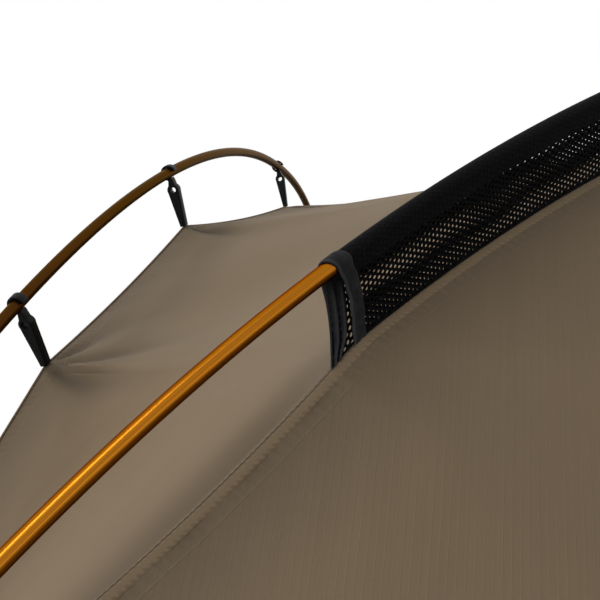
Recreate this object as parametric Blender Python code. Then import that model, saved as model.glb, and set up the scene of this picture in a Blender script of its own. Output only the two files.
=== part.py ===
"""Family dome tent: two crossing ridge poles in mesh sleeves, with a front and a rear hoop pole on clips.

Metres, +Z up. The origin is on the ground under the crown, and the door faces -Y.
"""

import math

import bmesh
import bpy
import numpy as np
from mathutils import Matrix, Vector

# Poles
POLE_RADIUS = 0.00475
FERRULE_RADIUS = 0.0038
FERRULE_LENGTH = 0.07
POLE_SIDES = 10
TIP_SIDES = 8
RING_APART = 0.01
TANGENT_REACH = 0.004
FIT_GAP = 0.0003

# Ridge poles, which cross from corner to corner
RIDGE_FOOT_X = 1.475
RIDGE_FOOT_Y = 1.36
RIDGE_HEIGHT = 1.856
RIDGE_SQUARENESS = 2.42
CROSSING_RISE = 0.0062

# Hoop poles, whose feet stand further out and whose tops lean in
HOOP_FORWARD = 0.16
HOOP_LEAN = 0.436
HOOP_HEIGHT = 1.755
HOOP_SQUARENESS = 2.12
HOOP_TILT = math.atan2(HOOP_LEAN, HOOP_HEIGHT)

# How far the fabric ridges hang below the poles
RIDGE_DROP = 0.038
HOOP_DROP = 0.0525
HOOP_DROP_TILT = math.radians(25.7)
CHORD_SAG = 0.005
LEG_SHARE = 0.35

# Clips, as distances from the foot of a ridge pole and from the top of a hoop
LEG_CLIPS = (0.35, 0.75, 1.15, 1.55)
HOOP_CLIPS = (0.46, 0.775, 1.30, 1.90)
CLIP_WIDTH = 0.008
CLIP_CLEARANCE = 0.0008
CLIP_WALL = 0.0024
CLIP_MOUTH_START = math.radians(-30)
CLIP_MOUTH_END = math.radians(-98)
CLIP_EYE_REACH = 0.0165
CLIP_EYE_RADIUS = 0.0052
CLIP_HOLE_RADIUS = 0.0024
CLIP_TIP_HALF_WIDTH = 0.0026
CLIP_TIP_GAP = 0.0006
CLIP_NECK = math.radians(24)
CLIP_EYE_FROM_STEM = 1.5
CLIP_EYE_TO_HOOK = 2.2
CLIP_STEPS = 10
ROW_CLIP_STEPS = 5

# Mesh sleeves
SLEEVE_MOUTH = 1.80
SLEEVE_TOP_GAP = 0.10
SLEEVE_WALL = 0.0009
SLEEVE_EASE = 0.0007
TEARDROP_ARC = 8
WEB_HALF_WIDTH = 0.0010
WEB_SOLID = 0.006
WEB_GAP = 0.0007
BINDING_LENGTH = 0.012
BINDING_WALL = 0.0010

# Fabric
FABRIC = 0.0015
GROUNDSHEET = 0.002
TUB_HEIGHT = 0.12
SEAM_GAP = 0.0003
WALL_INSET = 0.0022
SIDE_SAG = 0.035
SIDE_SAG_SKEW = 0.8
SIDE_COLUMNS = 7
ROOF_SAG = 0.022
ROOF_COLUMNS = 5
RIDGE_MITRE = 1.25
CROWN_CUT = 0.04
CROWN_PATCH_HALF = 0.06
CROWN_PATCH_GAP = 0.0005
WALL_FOOT_GAP = 0.0008
WELD = 1e-7

# Clips that share a sewn strip
CLIP_ROW_TAPE_WIDTH = 0.008
CLIP_ROW_TAPE_THICKNESS = 0.0012
CLIP_ROW_END = 0.006
TAPE_GAP = 0.0005
FRONT_CLIP_NAMES = (
    "hoop_clip_right_low",
    "hoop_clip_right_high",
    "hoop_clip_top",
    "hoop_clip_left_high",
    "hoop_clip_left_low",
)

# Door, in the plane of the front wall
DOOR_HALF_WIDTH = 0.40
DOOR_SILL = 0.20
DOOR_SPRING = 0.98
DOOR_CORNER = 0.07
ZIP_HALF = 0.0040
ZIP_SLIT = 0.0016
ZIP_THICKNESS = 0.0022
ZIP_START = 0.0006
ZIP_END_TRIM = 0.0006
DOOR_ARCH_STEPS = 48
DOOR_CORNER_STEPS = 8
HINGE_GAP = 0.0003

# Zip sliders and pulls
SLIDER_LENGTH = 0.012
SLIDER_WIDTH = 0.0096
SLIDER_PLATE = 0.0018
SLIDER_POST = 0.0009
PULL_LENGTH = 0.034
PULL_WIDTH = 0.0032
PULL_THICKNESS = 0.0016
PULL_PIN_RADIUS = 0.0007
PULL_BORE_RADIUS = 0.0011
PULL_EYE_RADIUS = 0.0021
EAR_THICKNESS = 0.0013
EAR_RISE = 0.0015
UPPER_SLIDER_ANGLE = math.radians(14)
LOWER_SLIDER_DROP = 0.09

# Rear window
WINDOW_HALF_WIDTH = 0.34
WINDOW_SILL = 0.72
WINDOW_HEIGHT = 0.36
WINDOW_CORNER = 0.06
COVER_OVERLAP = 0.03
COVER_GAP = 0.0004
NET = 0.0008

# Corner tabs and pole tips
TAB_THICKNESS = 0.0024
TAB_HALF_WIDTH = 0.022
TAB_REACH = 0.085
STAKE_HOLE_RADIUS = 0.011
STAKE_HOLE_REACH = 0.055
TIP_PIN_RADIUS = 0.0026
TIP_COLLAR_RADIUS = 0.0064
TIP_COLLAR_TOP = 0.018
TIP_PLUG_RADIUS = 0.0036
TIP_PLUG_LENGTH = 0.022
TIP_GROUND_GAP = 0.0005

ANODISED = ((0.55, 0.27, 0.04), 0.28, 0.9)
BLACK_PLASTIC = ((0.012, 0.012, 0.013), 0.45, 0.0)
BLACK_MESH = ((0.010, 0.010, 0.011), 0.85, 0.0)
BINDING_TAPE = ((0.022, 0.024, 0.027), 0.8, 0.0)
TAUPE = ((0.23, 0.19, 0.14), 0.75, 0.0)
DARK_TAUPE = ((0.10, 0.085, 0.065), 0.8, 0.0)
STEEL = ((0.35, 0.35, 0.36), 0.35, 1.0)


def clear_scene():
    for obj in list(bpy.data.objects):
        bpy.data.objects.remove(obj, do_unlink=True)


def finish(name, look):
    """One Principled material, named after its piece."""
    colour, roughness, metallic = look
    material = bpy.data.materials.new(name)
    material.use_nodes = True
    shader = material.node_tree.nodes["Principled BSDF"]
    shader.inputs["Base Color"].default_value = (*colour, 1)
    shader.inputs["Roughness"].default_value = roughness
    shader.inputs["Metallic"].default_value = metallic
    return material


def face_outwards(shape):
    bmesh.ops.recalc_face_normals(shape, faces=shape.faces)
    if shape.calc_volume(signed=True) < 0:
        bmesh.ops.reverse_faces(shape, faces=shape.faces)


def mesh_object(name, points, faces, look, smooth=False):
    mesh = bpy.data.meshes.new(name)
    mesh.from_pydata([tuple(p) for p in points], [], faces)
    shape = bmesh.new()
    shape.from_mesh(mesh)
    face_outwards(shape)
    shape.to_mesh(mesh)
    shape.free()
    if smooth:
        mesh.shade_smooth()
        mesh.set_sharp_from_angle(angle=math.radians(35))
    mesh.materials.append(finish(name, look))
    obj = bpy.data.objects.new(name, mesh)
    bpy.context.scene.collection.objects.link(obj)
    return obj


def put_origin(obj, point):
    """Moves an object's origin to its joint's axis, with its shape left where it is."""
    obj.data.transform(Matrix.Translation(-Vector(point)))
    obj.location = point


def carry(child, parent):
    child.parent = parent
    child.matrix_parent_inverse = Matrix.Translation(-parent.location)


def unite(target, others, matrix=Matrix()):
    """Joins helpers to a piece with exact unions, then moves the whole piece by a matrix."""
    for other in others:
        union = target.modifiers.new(other.name, "BOOLEAN")
        union.operation = "UNION"
        union.solver = "EXACT"
        union.object = other
    bpy.context.view_layer.update()
    mesh = bpy.data.meshes.new_from_object(target.evaluated_get(bpy.context.evaluated_depsgraph_get()))
    target.modifiers.clear()
    for other in others:
        bpy.data.objects.remove(other, do_unlink=True)
    mesh.transform(matrix)
    target.data = mesh


def unit(vector):
    return vector / np.linalg.norm(vector)


class Arch:
    """A pole's centreline from foot to foot in one plane, read by the distance from its first foot."""

    def __init__(self, middle, half_span, rise, squareness):
        angles = np.linspace(0, math.pi, 4001)
        across = np.sign(np.cos(angles)) * np.abs(np.cos(angles)) ** (2 / squareness)
        up = np.abs(np.sin(angles)) ** (2 / squareness)
        points = np.add(middle, np.outer(across, half_span) + np.outer(up, rise))
        steps = np.linalg.norm(np.diff(points, axis=0), axis=1)
        distance = np.concatenate([[0], np.cumsum(steps)])
        self.length = float(distance[-1])
        self.stations = np.linspace(0, self.length, 1201)
        self.points = np.stack([np.interp(self.stations, distance, points[:, k]) for k in range(3)], 1)
        self.side = unit(np.cross(half_span, rise))

    def at(self, s):
        return np.array([np.interp(s, self.stations, self.points[:, k]) for k in range(3)])

    def tangent(self, s):
        low = min(max(s - TANGENT_REACH, 0), self.length - 2 * TANGENT_REACH)
        return unit(self.at(low + 2 * TANGENT_REACH) - self.at(low))

    def inward(self, s):
        return np.cross(self.side, self.tangent(s))


class Ridge:
    """The fabric ridge below a pole: straight with a little sag between clips, even along a sleeve."""

    def __init__(self, arch, anchors, drop, shift=0.0, sleeve=None):
        self.arch, self.anchors, self.drop, self.shift, self.sleeve = arch, anchors, drop, shift, sleeve

    def hung(self, s):
        return self.arch.at(s) + self.drop * self.arch.inward(s) + self.shift * self.arch.side

    def at(self, s):
        if self.sleeve and self.sleeve[0] <= s <= self.sleeve[1]:
            return self.hung(s)
        index = min(max(int(np.searchsorted(self.anchors, s)), 1), len(self.anchors) - 1)
        low, high = self.anchors[index - 1], self.anchors[index]
        share = (s - low) / (high - low)
        chord = (1 - share) * self.hung(low) + share * self.hung(high)
        return chord + 4 * share * (1 - share) * CHORD_SAG * self.arch.inward(s)

    def station_at_height(self, height):
        """The distance along the first leg at which the ridge reaches a height."""
        trial = np.linspace(0, self.arch.length * LEG_SHARE, 800)
        return float(np.interp(height, [self.at(s)[2] for s in trial], trial))


def ridge_arch(corner_side, rise):
    """A ridge pole from the front corner on one side (+1 right, -1 left) to the rear corner opposite."""
    half_span = np.array([corner_side * RIDGE_FOOT_X, -RIDGE_FOOT_Y, 0.0])
    return Arch((0, 0, 0), half_span, np.array([0, 0, rise]), RIDGE_SQUARENESS)


def hoop_arch(end):
    """A hoop pole at the front (-1) or the rear (+1), from its foot on the tent's +X * -end side."""
    half_span = np.array([-end * RIDGE_FOOT_X, 0.0, 0.0])
    middle = (0, end * (RIDGE_FOOT_Y + HOOP_FORWARD), 0)
    return Arch(middle, half_span, np.array([0, -end * HOOP_LEAN, HOOP_HEIGHT]), HOOP_SQUARENESS)


POLES = {
    "ridge_pole_a": ridge_arch(1, RIDGE_HEIGHT + CROSSING_RISE),
    "ridge_pole_b": ridge_arch(-1, RIDGE_HEIGHT - CROSSING_RISE),
    "front_hoop": hoop_arch(-1),
    "rear_hoop": hoop_arch(1),
}
RIDGE_LINE = ridge_arch(1, RIDGE_HEIGHT)
RIDGE_MIDDLE = RIDGE_LINE.length / 2
SEAM = Ridge(
    RIDGE_LINE,
    [0.0, *LEG_CLIPS, SLEEVE_MOUTH, RIDGE_LINE.length],
    RIDGE_DROP,
    sleeve=(SLEEVE_MOUTH, RIDGE_LINE.length - SLEEVE_MOUTH),
)
HOOP = POLES["front_hoop"]
HOOP_MIDDLE = HOOP.length / 2
HOOP_ANCHORS = (
    [0.0]
    + [HOOP_MIDDLE - reach for reach in reversed(HOOP_CLIPS)]
    + [HOOP_MIDDLE]
    + [HOOP_MIDDLE + reach for reach in HOOP_CLIPS]
    + [HOOP.length]
)
FRONT_CLIP_STATIONS = HOOP_ANCHORS[3:8]
HOOP_SIDE_SIGN = 1 if HOOP.side[1] > 0 else -1
HOOP_SEAM = Ridge(
    HOOP,
    HOOP_ANCHORS,
    HOOP_DROP * math.cos(HOOP_DROP_TILT),
    shift=HOOP_SIDE_SIGN * HOOP_DROP * math.sin(HOOP_DROP_TILT),
)
SEAM_BASE = SEAM.station_at_height(TUB_HEIGHT)
HOOP_SEAM_BASE = HOOP_SEAM.station_at_height(TUB_HEIGHT)


def between(start, end, pieces):
    return list(np.linspace(start, end, pieces + 1)[1:])


def half_stations(base, stops, pieces):
    """Stations from the tub up one half of a ridge, with a number of equal pieces between its stops."""
    stations = [base]
    for start, end, count in zip([base, *stops], stops, pieces):
        stations += between(start, end, count)
    return stations


# Both ridges of a roof panel have as many stations, and each clip is one of them
RIDGE_STATIONS = half_stations(
    SEAM_BASE,
    [*LEG_CLIPS, SLEEVE_MOUTH, RIDGE_MIDDLE - CROWN_CUT],
    (1, 2, 2, 2, 2, 8),
)
HOOP_STATIONS = half_stations(
    HOOP_SEAM_BASE,
    [*(HOOP_MIDDLE - reach for reach in reversed(HOOP_CLIPS)), HOOP_MIDDLE],
    (3, 3, 3, 3, 5),
)
RIDGE_JOINT_STATION = 6
HOOP_JOINT_STATION = 15


def rear(point):
    """The same place at the tent's other end, a half turn round the crown."""
    return np.array([-point[0], -point[1], point[2]])


def at_end(point, end):
    """A place at the front (-1), or the same place at the rear (+1)."""
    return rear(point) if end > 0 else np.array(point)


def mirrored(point):
    return np.array([-point[0], point[1], point[2]])


def both_halves(stations, length):
    return stations + [length - s for s in reversed(stations) if s < length / 2 - FIT_GAP]


def turned_along(name, arch, profile, look, sides=POLE_SIDES):
    """A round body on an arch: (distance along it, radius) from one centre point to the other."""
    points, faces, rings = [], [], []
    for s, radius in profile:
        centre, inward = arch.at(s), arch.inward(s)
        turns = [0] if radius == 0 else np.arange(sides) * 2 * math.pi / sides
        rings.append(range(len(points), len(points) + len(turns)))
        for turn in turns:
            points.append(centre + radius * (math.cos(turn) * inward + math.sin(turn) * arch.side))
    for low, high in zip(rings, rings[1:]):
        for k in range(sides):
            after = (k + 1) % sides
            corners = [low[k % len(low)], high[k % len(high)], high[after % len(high)], low[after % len(low)]]
            faces.append(list(dict.fromkeys(corners)))
    return mesh_object(name, points, faces, look, smooth=True)


def make_pole(name, arch, stations, joints, section_names, tip_names, tilt):
    """Pole sections, each with a ferrule into the next one's bore, and a moulded tip in each foot."""
    bore = FERRULE_RADIUS + FIT_GAP
    depth = FERRULE_LENGTH + 2 * FIT_GAP
    foot = TIP_COLLAR_TOP + FIT_GAP
    tip_bore = TIP_PLUG_RADIUS + FIT_GAP
    tip_depth = TIP_COLLAR_TOP + TIP_PLUG_LENGTH + FIT_GAP
    ends = [foot, *joints, arch.length - foot]
    for k, section_name in enumerate(section_names):
        start, end = ends[k], ends[k + 1]
        first, last = k == 0, k == len(section_names) - 1
        if first:
            profile = [(tip_depth, 0), (tip_depth, tip_bore), (start, tip_bore)]
        else:
            start += FIT_GAP
            profile = [(start + depth, 0), (start + depth, bore), (start, bore)]
        inner_end = tip_depth if first else start + depth
        outer_end = arch.length - tip_depth if last else end
        inside = [s for s in stations if inner_end + RING_APART < s < outer_end - RING_APART]
        rings = dict.fromkeys((start, inner_end, *inside, outer_end, end))
        profile += [(s, POLE_RADIUS) for s in rings]
        if last:
            profile += [(end, tip_bore), (arch.length - tip_depth, tip_bore), (arch.length - tip_depth, 0)]
        else:
            tip = end + FERRULE_LENGTH
            profile += [(end, FERRULE_RADIUS), (tip, FERRULE_RADIUS), (tip, 0)]
        turned_along(f"{name}_{section_name}", arch, profile, ANODISED)
    pin_end = (TIP_GROUND_GAP + TIP_PIN_RADIUS * math.sin(tilt)) / math.cos(tilt)
    collar = (TAB_THICKNESS + FIT_GAP + TIP_COLLAR_RADIUS * math.sin(tilt)) / math.cos(tilt)
    tip = [
        (pin_end, 0),
        (pin_end, TIP_PIN_RADIUS),
        (collar, TIP_PIN_RADIUS),
        (collar, TIP_COLLAR_RADIUS),
        (TIP_COLLAR_TOP, TIP_COLLAR_RADIUS),
        (TIP_COLLAR_TOP, TIP_PLUG_RADIUS),
        (tip_depth - FIT_GAP, TIP_PLUG_RADIUS),
        (tip_depth - FIT_GAP, 0),
    ]
    far_tip = [(arch.length - s, radius) for s, radius in reversed(tip)]
    turned_along(f"{name}_tip_{tip_names[0]}", arch, tip, BLACK_PLASTIC, sides=TIP_SIDES)
    turned_along(f"{name}_tip_{tip_names[1]}", arch, far_tip, BLACK_PLASTIC, sides=TIP_SIDES)


def make_poles():
    for name, arch, corners in (
        ("ridge_pole_a", POLES["ridge_pole_a"], ("front_right", "rear_left")),
        ("ridge_pole_b", POLES["ridge_pole_b"], ("front_left", "rear_right")),
    ):
        stretch = arch.length / RIDGE_LINE.length
        stations = both_halves([s * stretch for s in RIDGE_STATIONS + [RIDGE_MIDDLE]], arch.length)
        joint = RIDGE_STATIONS[RIDGE_JOINT_STATION] * stretch
        sections = (f"leg_{corners[0]}", "crown", f"leg_{corners[1]}")
        make_pole(name, arch, stations, [joint, arch.length - joint], sections, corners, 0.0)
    for name, sides in (("front_hoop", ("right", "left")), ("rear_hoop", ("left", "right"))):
        arch = POLES[name]
        stations = both_halves(HOOP_STATIONS, arch.length)
        joint = arch.length - HOOP_STATIONS[HOOP_JOINT_STATION]
        sections = (f"section_{sides[0]}", f"section_{sides[1]}")
        make_pole(name, arch, stations, [joint], sections, sides, HOOP_TILT)


def teardrop(pole, inward, side, reach, radius, end_half):
    """A loop round a pole that narrows to its end near the fabric ridge, as a mesh sleeve does."""
    slope = math.acos((radius - end_half) / reach)
    turns = np.linspace(slope, 2 * math.pi - slope, TEARDROP_ARC)
    loop = [pole + radius * (math.cos(t) * inward + math.sin(t) * side) for t in turns]
    end = pole + reach * inward
    return loop + ([end - end_half * side, end + end_half * side] if end_half else [end])


def ring_body(name, rings, look):
    """A closed body from equal loops of points, one after another, with both end loops filled."""
    width = len(rings[0])
    points = [p for ring in rings for p in ring]
    faces = [list(range(width)), list(range(len(points) - width, len(points)))]
    for row in range(len(rings) - 1):
        for k in range(width):
            low, after = row * width + k, row * width + (k + 1) % width
            faces.append([low, after, after + width, low + width])
    return mesh_object(name, points, faces, look, smooth=True)


def ridge_below(arch, s):
    """The fabric ridge's place below a ridge pole, at a distance along that pole."""
    near = min(s, arch.length - s) * RIDGE_LINE.length / arch.length
    place, pole = SEAM.at(near), arch.at(s)
    return np.array([math.copysign(place[0], pole[0]), math.copysign(place[1], pole[1]), place[2]])


def sleeve_loops(arch, s):
    """A mesh sleeve's section: outer and inner loops, which both narrow towards the ridge."""
    pole, inward = arch.at(s), arch.inward(s)
    reach = float(np.dot(ridge_below(arch, s) - pole, inward)) - WEB_GAP
    radius = POLE_RADIUS + SLEEVE_EASE
    outer = teardrop(pole, inward, arch.side, reach, radius + SLEEVE_WALL, WEB_HALF_WIDTH)
    inner = teardrop(pole, inward, arch.side, reach - WEB_SOLID, radius, 0)
    return outer, inner


def make_sleeve(name, arch, stations):
    loops = [sleeve_loops(arch, s) for s in stations]
    outer_width, inner_width = len(loops[0][0]), len(loops[0][1])
    points = [p for outer, _ in loops for p in outer] + [p for _, inner in loops for p in inner]
    first_inner = len(loops) * outer_width
    faces = []
    for base, width in ((0, outer_width), (first_inner, inner_width)):
        for row in range(len(loops) - 1):
            low, high = base + row * width, base + (row + 1) * width
            for k in range(width):
                after = (k + 1) % width
                faces.append([low + k, low + after, high + after, high + k])
    for row in (0, len(loops) - 1):
        outer = [row * outer_width + k for k in range(outer_width)]
        inner = [first_inner + row * inner_width + k for k in range(inner_width)]
        for k in range(TEARDROP_ARC - 1):
            faces.append([outer[k], outer[k + 1], inner[k + 1], inner[k]])
        faces.append([*outer[TEARDROP_ARC - 1:], outer[0], inner[0], *reversed(inner[TEARDROP_ARC - 1:])])
    mesh_object(name, points, faces, look=BLACK_MESH, smooth=True)


def make_binding(name, arch, start):
    """The tape that binds a sleeve's mouth: a band over the sleeve, open along the ridge."""
    rings = []
    for s in (start, start + BINDING_LENGTH):
        pole, inward = arch.at(s), arch.inward(s)
        reach = float(np.dot(ridge_below(arch, s) - pole, inward)) - WEB_GAP
        radius = POLE_RADIUS + SLEEVE_EASE + SLEEVE_WALL + FIT_GAP
        half = WEB_HALF_WIDTH + FIT_GAP
        inner = teardrop(pole, inward, arch.side, reach, radius, half)
        outer = teardrop(pole, inward, arch.side, reach, radius + BINDING_WALL, half + BINDING_WALL)
        rings.append([outer[-1], *outer[:-1], *reversed(inner[:-1]), inner[-1]])
    ring_body(name, rings, BINDING_TAPE)


def make_sleeves(arch, end_names):
    top = RIDGE_MIDDLE - SLEEVE_TOP_GAP
    stretch = arch.length / RIDGE_LINE.length
    near = [s * stretch for s in RIDGE_STATIONS if SLEEVE_MOUTH <= s < top] + [top * stretch]
    far = [arch.length - s for s in reversed(near)]
    mouths = (near[0], far[-1] - BINDING_LENGTH)
    for end_name, stations, start in zip(end_names, (near, far), mouths):
        make_sleeve(f"mesh_sleeve_{end_name}", arch, stations)
        make_binding(f"sleeve_binding_{end_name}", arch, start)


def split(quad, points):
    """A four-sided face as two triangles, cut along its shorter diagonal."""
    a, b, c, d = quad
    if np.linalg.norm(points[c] - points[a]) <= np.linalg.norm(points[d] - points[b]):
        return (a, b, c), (a, c, d)
    return (a, b, d), (b, c, d)


def sheet(name, outer, inward, look):
    """A closed thin panel: a grid of outer points, each with the vector to its inner point.

    Both sides of the cloth are cut into triangles alike, so that a twisted place keeps its thickness.
    """
    rows, columns = len(outer), len(outer[0])
    points = [p for row in outer for p in row]
    points += [p + v for row, vectors in zip(outer, inward) for p, v in zip(row, vectors)]
    half = rows * columns
    faces = []
    for i in range(rows - 1):
        for j in range(columns - 1):
            a = i * columns + j
            for corners in split((a, a + 1, a + columns + 1, a + columns), points):
                faces.append(corners)
                faces.append([half + v for v in reversed(corners)])
    rim = [j for j in range(columns)]
    rim += [i * columns + columns - 1 for i in range(1, rows)]
    rim += [(rows - 1) * columns + j for j in range(columns - 2, -1, -1)]
    rim += [i * columns for i in range(rows - 2, 0, -1)]
    for a, b in zip(rim, rim[1:] + rim[:1]):
        faces.append([b, a, half + a, half + b])
    return mesh_object(name, points, faces, look, smooth=True)


def grid_normals(grid, toward):
    """Unit normals of a grid of points, all on the side of the point given."""
    array = np.array(grid)
    along = np.gradient(array, axis=0)
    across = np.gradient(array, axis=1)
    normals = np.cross(along, across)
    normals /= np.linalg.norm(normals, axis=2)[..., None]
    flip = np.einsum("ijk,ijk->ij", normals, np.asarray(toward) - array) < 0
    normals[flip] *= -1
    return normals


def wall_panel(name, grid, inside, mitres, look):
    """A fabric panel whose seam edges follow given mitres and whose bottom edge stays level."""
    grid = np.array(grid)
    inward = grid_normals(grid, inside) * FABRIC
    for column, mitre in mitres.items():
        inward[:, column] = mitre
        step = 1 if column == 0 else -1
        toward = grid[:, column + step] - grid[:, column]
        shift = SEAM_GAP * toward / np.linalg.norm(toward, axis=1)[:, None]
        grid[:, column] += shift
    level = inward[0].copy()
    level[:, 2] = 0
    inward[0] = level / np.linalg.norm(level, axis=1)[:, None] * FABRIC
    return sheet(name, grid, inward, look)


def quarter(point, side, end):
    """A place on the front right quarter, moved to another quarter of the tent."""
    return np.array([side * point[0], -end * point[1], point[2]])


def ridge_mitre(s, side, end):
    return quarter(RIDGE_LINE.inward(s) * FABRIC * RIDGE_MITRE, side, end)


def make_side_wall(name, side):
    """A side wall, level rulings from the front ridge to the rear one, drawn in a little between them."""
    stations = RIDGE_STATIONS
    grid, front_mitre, rear_mitre = [], [], []
    for s in stations:
        corner = SEAM.at(s)
        if s == stations[0]:
            corner[2] = TUB_HEIGHT + SEAM_GAP
        share = (s - stations[0]) / (stations[-1] - stations[0])
        depth = SIDE_SAG * math.sin(math.pi * share**SIDE_SAG_SKEW)
        sag = depth * unit(RIDGE_LINE.inward(s) * np.array([1, 0, 1]))
        row = []
        for across in np.linspace(-1, 1, SIDE_COLUMNS):
            place = np.array([corner[0], -across * corner[1], corner[2]]) + sag * (1 - across**2)
            row.append(np.array([side * place[0], place[1], place[2]]))
        grid.append(row)
        front_mitre.append(ridge_mitre(s, side, -1))
        rear_mitre.append(ridge_mitre(s, side, 1))
    mitres = {0: np.array(front_mitre), SIDE_COLUMNS - 1: np.array(rear_mitre)}
    wall_panel(name, grid, (0, 0, 0.5), mitres, TAUPE)


def make_roof_panel(name, end):
    """The panel from a hoop back to the two ridges that meet at the crown."""
    rows = len(RIDGE_STATIONS)
    half = []
    for k, (ridge_s, hoop_s) in enumerate(zip(RIDGE_STATIONS, HOOP_STATIONS)):
        share = k / (rows - 1)
        back, front = SEAM.at(ridge_s), HOOP_SEAM.at(hoop_s)
        if k == 0:
            back[2] = front[2] = TUB_HEIGHT + SEAM_GAP
        inward = RIDGE_LINE.inward(ridge_s)
        row = []
        for across in np.linspace(0, 1, ROOF_COLUMNS):
            bow = ROOF_SAG * math.sin(math.pi * share / 2) * 4 * across * (1 - across)
            row.append((1 - across) * back + across * front + bow * inward)
        half.append((row, ridge_mitre(ridge_s, 1, -1), HOOP.inward(hoop_s) * FABRIC))
    other_half = [([mirrored(p) for p in row], mirrored(b), mirrored(f)) for row, b, f in reversed(half[:-1])]
    middle_row = [np.array([0, p[1], p[2]]) for p in half[-1][0]]
    half[-1] = (middle_row, np.array([0, 0, -FABRIC]), half[-1][2])
    every = half + other_half
    grid = np.array([[at_end(p, end) for p in row] for row, _, _ in every])
    inward = grid_normals(grid, (0, 0, 0.3)) * FABRIC
    inward[:, 0] = [at_end(b, end) for _, b, _ in every]
    inward[:, -1] = [at_end(f, end) for _, _, f in every]
    toward = grid[:, 1] - grid[:, 0]
    grid[:, 0] += SEAM_GAP * toward / np.linalg.norm(toward, axis=1)[:, None]
    for edge in (0, -1):
        level = inward[edge] * np.array([1, 1, 0])
        inward[edge] = level / np.linalg.norm(level, axis=1)[:, None] * FABRIC
    sheet(name, grid, inward, TAUPE)


def inset_outline(outline, distance):
    """A convex outline's corners, moved inwards by the same distance from every side."""
    corners = [np.array(p[:2]) for p in outline]
    result = []
    for before, here, after in zip(corners[-1:] + corners[:-1], corners, corners[1:] + corners[:1]):
        first, second = unit(here - before), unit(after - here)
        turn = first[0] * second[1] - first[1] * second[0]
        result.append(here + distance * (second - first) / turn)
    return result


def make_groundsheet():
    """The tub floor: a flat sheet with its sides turned up to meet the walls."""
    front_low = [SEAM.at(0), HOOP_SEAM.at(0)]
    front_high = [SEAM.at(SEAM_BASE), HOOP_SEAM.at(HOOP_SEAM_BASE)]
    outlines = []
    for ridge, hoop in (front_low, front_high):
        front = [mirrored(ridge), mirrored(hoop), hoop, ridge]
        outlines.append([p[:2] for p in front] + [rear(p)[:2] for p in front])
    low, high = outlines
    inner_low, inner_high = inset_outline(low, GROUNDSHEET), inset_outline(high, GROUNDSHEET)
    rings = ((low, 0.0), (high, TUB_HEIGHT), (inner_high, TUB_HEIGHT), (inner_low, GROUNDSHEET))
    points = [np.array([p[0], p[1], z]) for outline, z in rings for p in outline]
    sides = len(low)
    faces = [list(range(sides)), list(range(3 * sides, 4 * sides))]
    for k in range(sides):
        after = (k + 1) % sides
        faces.append((sides + k, sides + after, 2 * sides + after, 2 * sides + k))
        for corners in split((k, after, sides + after, sides + k), points):
            faces.append(corners)
            faces.append([(3 - v // sides) * sides + v % sides for v in corners])
    mesh_object("groundsheet", points, faces, DARK_TAUPE)


def flat_body(name, outlines, low, high, matrix, look):
    """A plate between two heights of its own frame: the first outline is its edge, the others are holes."""
    if len(outlines) == 1:
        rings = [[matrix @ Vector((x, y, height)) for x, y in outlines[0]] for height in (low, high)]
        return ring_body(name, rings, look)
    curve = bpy.data.curves.new(name, "CURVE")
    curve.dimensions = "2D"
    curve.fill_mode = "BOTH"
    curve.extrude = (high - low) / 2
    for outline in outlines:
        spline = curve.splines.new("POLY")
        spline.points.add(len(outline) - 1)
        for point, (x, y) in zip(spline.points, outline):
            point.co = (x, y, 0, 1)
        spline.use_cyclic_u = True
    helper = bpy.data.objects.new(name + "_outline", curve)
    bpy.context.scene.collection.objects.link(helper)
    bpy.context.view_layer.update()
    mesh = bpy.data.meshes.new_from_object(helper.evaluated_get(bpy.context.evaluated_depsgraph_get()))
    bpy.data.objects.remove(helper, do_unlink=True)
    shape = bmesh.new()
    shape.from_mesh(mesh)
    bmesh.ops.remove_doubles(shape, verts=shape.verts, dist=WELD)
    shape.transform(matrix @ Matrix.Translation((0, 0, (low + high) / 2)))
    face_outwards(shape)
    shape.to_mesh(mesh)
    shape.free()
    mesh.materials.clear()
    mesh.materials.append(finish(name, look))
    obj = bpy.data.objects.new(name, mesh)
    bpy.context.scene.collection.objects.link(obj)
    return obj


def frame_of(origin, x_axis, y_axis):
    """A frame from its origin and its first two axes."""
    x, y = Vector(x_axis).normalized(), Vector(y_axis).normalized()
    z = x.cross(y)
    return Matrix.Translation(Vector(origin)) @ Matrix((x, y, z)).transposed().to_4x4()


def arc(centre, radius, start, end, steps):
    turns = np.linspace(start, end, steps + 1)
    return [(centre[0] + radius * math.cos(t), centre[1] + radius * math.sin(t)) for t in turns]


# The front wall's own frame: U to the right, V up the slope, W out of the tent
WALL_ORIGIN = Vector((0, -(RIDGE_FOOT_Y + HOOP_FORWARD), 0)) + Vector(HOOP.side) * HOOP_SEAM.shift
FRONT_WALL = frame_of(WALL_ORIGIN, (1, 0, 0), (0, HOOP_LEAN, HOOP_HEIGHT))
REAR_WALL = Matrix.Rotation(math.pi, 4, "Z") @ FRONT_WALL


def on_wall(point):
    local = FRONT_WALL.inverted() @ Vector(point)
    return local.x, local.y


def wall_outline():
    """The front wall's edge, just inside the hoop's fabric ridge, with a level foot on the tub."""
    half = [on_wall(HOOP_SEAM.at(s) + WALL_INSET * HOOP.inward(s)) for s in HOOP_STATIONS]
    foot = (TUB_HEIGHT + WALL_FOOT_GAP - WALL_ORIGIN.z) / FRONT_WALL.col[1].z
    half[0] = (half[0][0], foot)
    return half + [(-u, v) for u, v in reversed(half[:-1])]


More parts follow.
